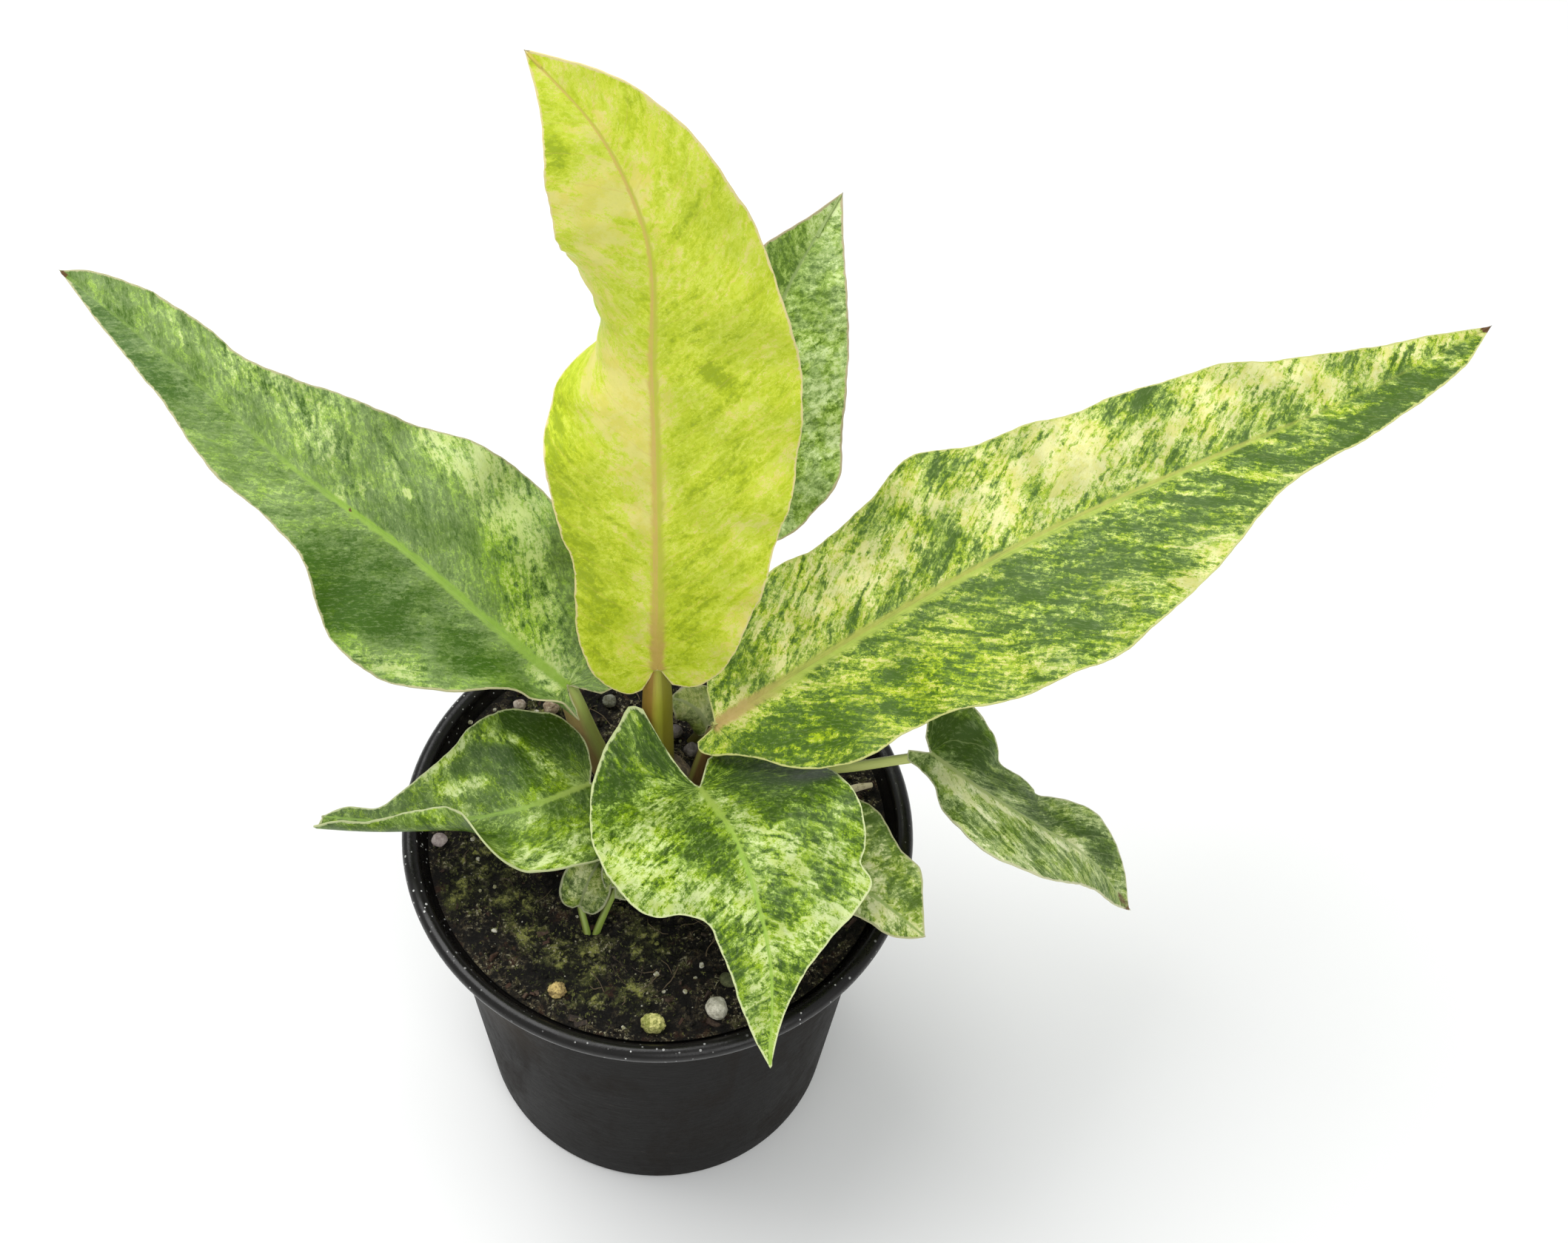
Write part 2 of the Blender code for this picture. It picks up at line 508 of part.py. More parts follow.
def build_pot():
    bead = (RIM_RADIUS - BEAD_RADIUS, POT_HEIGHT - BEAD_RADIUS)
    roll = [(bead[0] + BEAD_RADIUS * math.cos(a), bead[1] + BEAD_RADIUS * math.sin(a))
            for a in np.radians(np.linspace(*BEAD_TURN, BEAD_POINTS))]
    lip = COLLAR_RADIUS + 0.4
    profile = [(0, 0), (BASE_RADIUS - FOOT_CHAMFER, 0), (BASE_RADIUS, FOOT_CHAMFER),
               (STEP_RADIUS, STEP_HEIGHT), (COLLAR_RADIUS - 1.0, STEP_HEIGHT + 0.5),
               (COLLAR_RADIUS, STEP_HEIGHT + 1.5), (lip, bead[1] - BEAD_RADIUS - 0.2)]
    profile += roll
    profile += [(LEDGE_RADIUS, LEDGE_HEIGHT + LEDGE_RISE),
                (inner_radius(LEDGE_HEIGHT), LEDGE_HEIGHT),
                (inner_radius(BASE_THICKNESS), BASE_THICKNESS), (0, BASE_THICKNESS)]
    pot = lathe("pot", profile, POT_STEPS)
    drains = []
    for i in range(DRAIN_HOLES):
        angle = math.tau * (i + 0.5) / DRAIN_HOLES
        bm = bmesh.new()
        centre = (DRAIN_CIRCLE * math.cos(angle), DRAIN_CIRCLE * math.sin(angle), BASE_THICKNESS / 2)
        bmesh.ops.create_cone(bm, cap_ends=True, segments=DRAIN_HOLE_SIDES, radius1=DRAIN_HOLE_RADIUS,
                              radius2=DRAIN_HOLE_RADIUS, depth=3 * BASE_THICKNESS,
                              matrix=Matrix.Translation(centre))
        drains.append(add_object("drain", mesh_from_bmesh(bm, "drain")))
    combine(pot, drains, "DIFFERENCE")
    return finish(pot, material("pot", POT_COLOUR, 0.45))


def soil_height(x, y):
    """Top of the potting mix: a low dome with lumps that die out at the wall."""
    share = min(math.hypot(x, y) / SOIL_RADIUS, 1.0)
    lumps = noise.noise(Vector((x, y, 3.0)) / 17.0) + 0.5 * noise.noise(Vector((x, y, 9.0)) / 7.0)
    return SOIL_EDGE_HEIGHT + SOIL_DOME * (1 - share**2) + SOIL_RELIEF * lumps * (1 - share**4)


def build_soil(cutters):
    bottom = BASE_THICKNESS + CLEARANCE
    wall = inner_radius(LEDGE_HEIGHT)
    rings = [(SOIL_RADIUS * k / SOIL_RINGS, None) for k in range(SOIL_RINGS + 1)]
    rings += [(SOIL_RADIUS, LEDGE_HEIGHT + LEDGE_RISE + CLEARANCE),
              (wall, LEDGE_HEIGHT + CLEARANCE), (wall - CLEARANCE, LEDGE_HEIGHT),
              (inner_radius(bottom) - CLEARANCE, bottom), (0.0, bottom)]
    bm = bmesh.new()
    rows = []
    for radius, height in rings:
        row = []
        for i in range(POT_STEPS):
            angle = math.tau * i / POT_STEPS
            x, y = radius * math.cos(angle), radius * math.sin(angle)
            if radius == 0 and row:
                row.append(row[0])
            else:
                row.append(bm.verts.new((x, y, soil_height(x, y) if height is None else height)))
        rows.append(row)
    for inner, outer in zip(rows, rows[1:]):
        for i in range(POT_STEPS):
            j = (i + 1) % POT_STEPS
            corners = list(dict.fromkeys((inner[i], outer[i], outer[j], inner[j])))
            bm.faces.new(corners)
    bmesh.ops.triangulate(bm, faces=bm.faces)
    bmesh.ops.recalc_face_normals(bm, faces=bm.faces)
    soil = add_object("soil", mesh_from_bmesh(bm, "soil"))
    combine(soil, cutters, "DIFFERENCE")
    return finish(soil, material("soil", SOIL_COLOUR, 0.95))


def crown_profile(spare=0.0):
    bottom = CROWN_BOTTOM - spare
    radius = CROWN_RADIUS + spare
    return [(0, bottom), (radius - 3, bottom), (radius, bottom + 4), (radius, CROWN_TOP - 8),
            (radius - 1.5, CROWN_TOP - 3), (radius - 5, CROWN_TOP + spare), (0, CROWN_TOP + spare)]


def stalk_cutters():
    cutters = []
    for name, leaf in LEAVES.items():
        points, radii = stalk_points(leaf)
        below = int((points[:, 2] < CROWN_TOP).sum()) + 1
        cutters.append(tube(name + "_hole", points[:below], radii[:below], spare=CLEARANCE))
    return cutters


def build_crown():
    """A stump with a socket for each stalk; returns the cutters for its hole in the mix."""
    crown = lathe("crown", crown_profile(), CROWN_STEPS, CROWN_CENTRE)
    combine(crown, stalk_cutters(), "DIFFERENCE")
    finish(crown, material("crown", CROWN_COLOUR, 0.85))
    hole = lathe("crown_hole", crown_profile(CLEARANCE), CROWN_STEPS, CROWN_CENTRE)
    return [hole] + stalk_cutters()


def pebble_mesh(name, centre, size, seed, spare=0.0):
    """A rounded, slightly lumpy stone; spare grows it evenly, to cut its dimple."""
    bm = bmesh.new()
    bmesh.ops.create_icosphere(bm, subdivisions=2, radius=1.0)
    for v in bm.verts:
        lump = 1.0 + PEBBLE_LUMPS * noise.noise(v.co * 1.3 + Vector((seed * 7.1, 0, 0)))
        v.co = Vector(centre) + v.co * Vector(PEBBLE_SHAPE) * (lump * size / 2 + spare)
    return add_object(name, mesh_from_bmesh(bm, name))


def build_pebbles():
    """Place every loose stone on the mix; returns the cutters for their dimples."""
    cutters = []
    for seed, (name, (x, y, size, sunk, colour)) in enumerate(PEBBLES.items()):
        centre = (x, y, soil_height(x, y) + size * (PEBBLE_SHAPE[2] / 2 - sunk))
        finish(pebble_mesh(name, centre, size, seed), material(name, colour, 0.8))
        cutters.append(pebble_mesh(name + "_dimple", centre, size, seed, CLEARANCE))
    return cutters


def build_seedling():
    """Two short stalks from one point, each with a small cupped leaf."""
    whole = None
    cutters = []
    for i, leaf in enumerate(SEEDLING_LEAVES):
        blade = Blade(leaf)
        small = blade_solid(f"seedling_{i}", blade, leaf.rungs, leaf.steps, SEEDLING_THICKNESS)
        points, radii = stalk_points(leaf, 8)
        rib = spread(blade.path, np.array([0.15, 0.35]))
        stem = tube("stalk", np.concatenate([points, rib]), np.concatenate([radii, [0.5, 0.3]]), 1)
        combine(small, [stem], "UNION")
        cutters.append(tube("hole", points[:6], radii[:6], 1, spare=CLEARANCE))
        if whole:
            combine(whole, [small], "UNION")
        else:
            whole = small
    whole.name = "seedling"
    finish(whole, material("seedling", SEEDLING_COLOUR, 0.5))
    return cutters


def build_root():
    path = smooth_path([(*p, r) for p, r in zip(ROOT_PATH, ROOT_RADII)], 9)
    root = tube("root_tip", path[:, :3], path[:, 3])
    finish(root, material("root_tip", ROOT_COLOUR, 0.6))
    return tube("root_hole", path[:6, :3], path[:6, 3], spare=CLEARANCE)


def main():
    clear_scene()
    build_pot()
    for name, leaf in LEAVES.items():
        build_leaf(name, leaf)
    cutters = build_crown() + build_seedling() + [build_root()]
    cutters += build_pebbles()
    build_soil(cutters)


main()
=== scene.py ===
# %% [markdown]
# # A variegated anthurium in its nursery pot
# This lesson dresses a plain measured model of a potted plant: long leathery leaves, a round
# plastic pot and a bed of mossy potting mix. The measured solids are loaded first. They fix
# every size and place, and each one is then hidden behind a finer piece with a painted finish.

# %% Load the measured model
import math
import random
from dataclasses import dataclass

import bpy
import numpy as np
from mathutils import Matrix, Vector, noise


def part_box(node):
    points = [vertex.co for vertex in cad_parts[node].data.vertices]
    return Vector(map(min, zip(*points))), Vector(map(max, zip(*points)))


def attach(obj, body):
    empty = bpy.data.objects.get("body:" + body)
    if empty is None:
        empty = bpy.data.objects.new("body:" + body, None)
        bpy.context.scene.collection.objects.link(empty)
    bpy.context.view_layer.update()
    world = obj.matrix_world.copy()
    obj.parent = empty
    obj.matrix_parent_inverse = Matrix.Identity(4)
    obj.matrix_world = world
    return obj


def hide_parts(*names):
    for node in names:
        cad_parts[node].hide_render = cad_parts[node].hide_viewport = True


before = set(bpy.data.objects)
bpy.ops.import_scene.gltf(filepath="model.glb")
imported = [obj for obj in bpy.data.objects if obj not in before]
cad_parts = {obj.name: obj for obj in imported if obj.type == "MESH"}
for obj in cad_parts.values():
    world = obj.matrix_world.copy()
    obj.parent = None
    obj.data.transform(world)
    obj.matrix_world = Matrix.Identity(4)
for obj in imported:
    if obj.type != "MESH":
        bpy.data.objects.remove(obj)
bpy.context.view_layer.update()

MM = 0.001
bpy.ops.object.select_all(action="DESELECT")
print("measured solids:", len(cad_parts))

# %% [markdown]
# The camera comes first, because everything is judged through it. It stands in front of the
# plant and looks down at about 54 degrees. The lens is found from its focal length counted in
# picture widths, and a small sideways shift keeps the pot left of the middle, as it should be.

# %% Camera
PICTURE_WIDTH = 2118
PICTURE_MIDDLE = PICTURE_WIDTH / 2
FOCAL_LENGTH = 2800             # in the same units as the picture's width
LENS_AXIS = 888                 # where the lens axis meets the picture, from its left side
SENSOR = 36.0
CAMERA_PLACE = (0.0, -0.287, 0.618)
LOOKING_DOWN = 54.3             # degrees below level

lens = bpy.data.cameras.new("camera")
lens.sensor_width = SENSOR
lens.lens = SENSOR * FOCAL_LENGTH / PICTURE_WIDTH
lens.shift_x = (PICTURE_MIDDLE - LENS_AXIS) / PICTURE_WIDTH
camera = bpy.data.objects.new("camera", lens)
camera.location = CAMERA_PLACE
camera.rotation_euler = (math.radians(90 - LOOKING_DOWN), 0.0, 0.0)
bpy.context.scene.collection.objects.link(camera)
bpy.context.scene.camera = camera
print(f"lens {lens.lens:.1f} mm")

# %% [markdown]
# Materials are node trees. A small helper class keeps them readable: each of its calls adds one
# node, and takes either a plain value or the output of another call. Colours are linear.

# %% A painter for node materials
class Paint:
    """One material, built by short calls that each add a node."""

    def __init__(self, name, roughness=0.5, specular=0.5):
        self.material = bpy.data.materials.new(name)
        self.material.use_nodes = True
        self.tree = self.material.node_tree
        self.shader = self.tree.nodes["Principled BSDF"]
        self.set(roughness=roughness, specular_ior_level=specular)

    def set(self, **values):
        """Set or link the shader's own sockets, named in lower case."""
        for key, value in values.items():
            socket = self.shader.inputs[key.replace("_", " ").title().replace("Ior", "IOR")]
            if isinstance(value, bpy.types.NodeSocket):
                self.tree.links.new(value, socket)
            else:
                socket.default_value = (*value, 1.0) if key == "base_color" else value
        return self

    def node(self, kind, sockets, **settings):
        node = self.tree.nodes.new("ShaderNode" + kind)
        for key, value in settings.items():
            setattr(node, key, value)
        for key, value in sockets.items():
            if isinstance(value, bpy.types.NodeSocket):
                self.tree.links.new(value, node.inputs[key])
            else:
                node.inputs[key].default_value = value
        return node

    def attribute(self, name, output="Fac"):
        return self.node("Attribute", {}, attribute_name=name).outputs[output]

    def place(self):
        return self.node("TexCoord", {}).outputs["Object"]

    def stretch(self, vector, scale, shift=(0.0, 0.0, 0.0)):
        sockets = {"Vector": vector, "Scale": scale, "Location": shift}
        return self.node("Mapping", sockets).outputs["Vector"]

    def axis(self, vector, index):
        return self.node("SeparateXYZ", {0: vector}).outputs[index]

    def noise(self, vector, size=None, shift=(0.0, 0.0, 0.0), scale=1.0, detail=4.0, roughness=0.6,
              distortion=0.0):
        """Noise, which a size for each axis can stretch and a shift can move."""
        if size:
            vector = self.stretch(vector, size, shift)
        sockets = {"Vector": vector, "Scale": scale, "Detail": detail, "Roughness": roughness,
                   "Distortion": distortion}
        return self.node("TexNoise", sockets).outputs["Fac"]

    def cells(self, vector, scale, output="Distance"):
        return self.node("TexVoronoi", {"Vector": vector, "Scale": scale}).outputs[output]

    def pick(self, vector, scale=1.0):
        """One number from 0 to 1 for each cell, so some cells can be picked out."""
        return self.node("SeparateColor", {0: self.cells(vector, scale, "Color")}).outputs[0]

    def math(self, operation, a, b=0.0, c=0.0):
        return self.node("Math", {0: a, 1: b, 2: c}, operation=operation).outputs[0]

    def total(self, *terms):
        """Add up pairs of an output and its weight."""
        result = 0.0
        for output, weight in terms:
            result = self.math("MULTIPLY_ADD", output, weight, result)
        return result

    def product(self, result, *factors):
        for factor in factors:
            result = self.math("MULTIPLY", result, factor)
        return result

    def lines(self, pattern, width):
        """Thin ragged lines: 1 where a noise crosses its middle, and 0 beyond the width."""
        return self.ease(self.math("ABSOLUTE", self.math("SUBTRACT", pattern, 0.5)), width, 0.0)

    def ease(self, value, low, high, to_low=0.0, to_high=1.0):
        """0 below low, 1 above high, and a soft change between."""
        sockets = {"Value": value, "From Min": low, "From Max": high, "To Min": to_low,
                   "To Max": to_high}
        return self.node("MapRange", sockets, interpolation_type="SMOOTHSTEP").outputs["Result"]

    def mix(self, factor, a, b):
        a, b = ((*c, 1.0) if isinstance(c, tuple) else c for c in (a, b))
        return self.node("Mix", {0: factor, 6: a, 7: b}, data_type="RGBA").outputs[2]

    def ramp(self, value, stops):
        """A colour ramp through (position, colour) stops, lowest first."""
        node = self.node("ValToRGB", {0: value})
        marks = node.color_ramp.elements
        while len(marks) < len(stops):
            marks.new(0.5)
        for mark, (position, _) in zip(marks, stops):
            mark.position = position
        for mark, (_, colour) in zip(marks, stops):
            mark.color = (*colour, 1.0)
        return node.outputs[0]

    def bump(self, height, distance, strength=1.0):
        sockets = {"Height": height, "Distance": distance * MM, "Strength": strength}
        return self.node("Bump", sockets).outputs["Normal"]

    def two_tone(self, pattern, low, high, first, second):
        """Colour the piece from a first tone to a second as a pattern rises from low to high."""
        return self.set(base_color=self.mix(self.ease(pattern, low, high), first, second))


# %% [markdown]
# The stage is a plain pale floor under soft, even light, like an overcast sky in a white room.
# One large lamp from the upper left gives the leaves a broad sheen and soft shadows.

# %% Floor and light
bpy.ops.mesh.primitive_plane_add(size=6.0, location=(0.0, 0.5, -0.0002))
floor = bpy.context.object
floor.name = "floor"
floor_paint = Paint("floor", roughness=0.9, specular=0.1).set(base_color=(0.90, 0.90, 0.89))
floor.data.materials.append(floor_paint.material)

world = bpy.data.worlds.new("soft light")
world.use_nodes = True
world.node_tree.nodes["Background"].inputs["Color"].default_value = (0.97, 0.99, 1.0, 1.0)
world.node_tree.nodes["Background"].inputs["Strength"].default_value = 0.62
bpy.context.scene.world = world


def lamp(name, place, target, size, power):
    """A square lamp that faces its target."""
    data = bpy.data.lights.new(name, "AREA")
    data.size = size
    data.energy = power
    obj = bpy.data.objects.new(name, data)
    obj.location = place
    obj.rotation_euler = (Vector(target) - Vector(place)).to_track_quat("-Z", "Y").to_euler()
    bpy.context.scene.collection.objects.link(obj)


lamp("sky", (-0.5, 0.35, 1.5), (0.0, 0.0, 0.15), 1.2, 19.0)
lamp("front", (0.5, -1.1, 1.0), (0.0, 0.0, 0.1), 0.9, 6.0)
bpy.context.scene.view_settings.view_transform = "Standard"

# %% [markdown]
# Most pieces here start as a grid primitive. The grid is ordered, row by row, so a formula can
# say where each of its points goes: along a leaf, round a stalk, or over the lumpy mix. That
# keeps the faces even and lets paint follow the surface, by values stored at each point.

# %% Helpers for shaping
def move_points(piece, points):
    """Put the piece's points at the given places, in millimetres."""
    piece.data.vertices.foreach_set("co", (points * MM).astype(np.float32).ravel())
    piece.data.update()


def grid_piece(name, points):
    """A grid primitive with its points moved to the given places."""
    rows, columns = points.shape[:2]
    bpy.ops.mesh.primitive_grid_add(x_subdivisions=columns - 1, y_subdivisions=rows - 1)
    piece = bpy.context.object
    piece.name = piece.data.name = name
    move_points(piece, points)
    return piece


def read_points(piece, what="co"):
    """The places (co) or normals (normal) of the piece's points, a row for each."""
    values = np.empty(len(piece.data.vertices) * 3, np.float32)
    piece.data.vertices.foreach_get(what, values)
    return values.reshape(-1, 3)


def store(piece, **values):
    """Keep a number, or three, at each point of the piece for its material to read."""
    for key, value in values.items():
        value = np.asarray(value, np.float32)
        is_vector = value.shape[-1] == 3 and value.size == 3 * len(piece.data.vertices)
        layer = piece.data.attributes.new(key, "FLOAT_VECTOR" if is_vector else "FLOAT", "POINT")
        layer.data.foreach_set("vector" if is_vector else "value", value.ravel())


def lay_uv(piece, uv):
    """Give each point of the piece its place in the UV map, by the corners of its faces."""
    corners = np.empty(len(piece.data.loops), np.int32)
    piece.data.loops.foreach_get("vertex_index", corners)
    piece.data.uv_layers.active.data.foreach_set("uv", uv[corners].astype(np.float32).ravel())


def select(*pieces):
    """Select these pieces alone; the first is the active one."""
    bpy.ops.object.select_all(action="DESELECT")
    for piece in pieces:
        piece.select_set(True)
    bpy.context.view_layer.objects.active = pieces[0]


def edit(piece, *steps):
    """Run edit-mode operators on the whole of a piece; a step is (operator, settings)."""
    select(piece)
    bpy.ops.object.mode_set(mode="EDIT")
    bpy.ops.mesh.select_all(action="SELECT")
    for operator, settings in steps:
        operator(**settings)
    bpy.ops.object.mode_set(mode="OBJECT")


def apply(piece, kind, **settings):
    """Add a modifier, set it and apply it."""
    select(piece)
    modifier = piece.modifiers.new(kind.title(), kind)
    for key, value in settings.items():
        setattr(modifier, key, value)
    bpy.ops.object.modifier_apply(modifier=modifier.name)


def join(pieces):
    """Make one object of several; the first keeps its name."""
    select(*pieces)
    bpy.ops.object.join()
    return pieces[0]


def smooth(piece, angle=40):
    select(piece)
    bpy.ops.object.shade_smooth_by_angle(angle=math.radians(angle))


def settle(piece, slot, *nodes):
    """The piece belongs to the plant's one body and hides its solids; slot is not used."""
    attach(piece, "root")
    if nodes:
        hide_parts(*nodes)
    print(f"{piece.name}: {len(piece.data.polygons)} faces")


def dress(piece, material, slot, *nodes, angle=40):
    """Paint a piece, shade it smooth and settle it."""
    piece.data.materials.append(material)
    smooth(piece, angle)
    settle(piece, slot, *nodes)


MERGE = (bpy.ops.mesh.remove_doubles, {"threshold": 2e-6})

# %% [markdown]
# A stalk or a midrib runs through a few points in space. This curve passes through all of them
# and leaves evenly spaced points, so the faces along it are alike. The other helpers read a
# value between its neighbours, one straight and one with a soft change.

# %% Curves through points
def walked_along(path):
    """The distance walked along a path, at each of its points."""
    return np.concatenate([[0.0], np.cumsum(np.linalg.norm(np.diff(path, axis=0), axis=1))])


def smooth_path(points, count):
    """count points at even steps along a smooth curve through the given points."""
    p = np.array(points, float)
    knots = walked_along(p)
    slopes = np.gradient(p, knots, axis=0)
    fine = [p[:1]]
    for i in range(len(p) - 1):
        u = np.linspace(0, 1, 41)[1:, None]
        span = knots[i + 1] - knots[i]
        fine.append((2 * u**3 - 3 * u**2 + 1) * p[i] + (u**3 - 2 * u**2 + u) * span * slopes[i]
                    + (3 * u**2 - 2 * u**3) * p[i + 1] + (u**3 - u**2) * span * slopes[i + 1])
    curve = np.concatenate(fine)
    walked = walked_along(curve)
    wanted = np.linspace(0, walked[-1], count)
    return np.stack([np.interp(wanted, walked, curve[:, k]) for k in range(p.shape[1])], axis=1)


def unit(v):
    """Vectors of the same direction, each of length 1."""
    return v / np.linalg.norm(v, axis=-1, keepdims=True)


def spread(values, where):
    """Read evenly spaced vectors, first to last, at fractions 0 to 1."""
    values = np.array(values, float)
    stations = np.linspace(0, 1, len(values))
    columns = [np.interp(where, stations, values[:, k]) for k in range(values.shape[1])]
    return np.stack(columns, axis=-1)


def eased(knots, where):
    """Read a list of (fraction, value) with a soft change from knot to knot."""
    at, value = np.array(knots, float).T
    i = np.clip(np.searchsorted(at, where, side="right") - 1, 0, len(at) - 2)
    t = np.clip((where - at[i]) / (at[i + 1] - at[i]), 0, 1)
    return value[i] + (value[i + 1] - value[i]) * t * t * (3 - 2 * t)


# %% [markdown]
# Each leaf is measured by its midrib in space and by the outline of its two halves, laid flat.
# Fold says how steeply a half rises from the midrib, and curl how much more it turns with each
# centimetre outwards. The numbers are those of the measured solids, so the finer leaf lies
# exactly where the plain one does.

# %% The leaves' shapes
@dataclass
class Leaf:
    """Stalk, midrib and halves of a leaf. Outlines are (along, across) in millimetres."""
    petiole: list
    petiole_radii: tuple
    midrib: list
    facing: list
    left: list
    right: list
    fold_left: list = ((0, 12), (1, 8))
    fold_right: list = ((0, 12), (1, 8))
    curl_left: list = ((0, 0), (1, 0))
    curl_right: list = ((0, 0), (1, 0))
    lobe_lift: tuple = (0.0, 0.0)       # left, right: rise of the lobes 20 mm behind the foot
    wave: tuple = (1.0, 27.0, 0.0)      # lift, spacing and start (in turns) of the waved margin


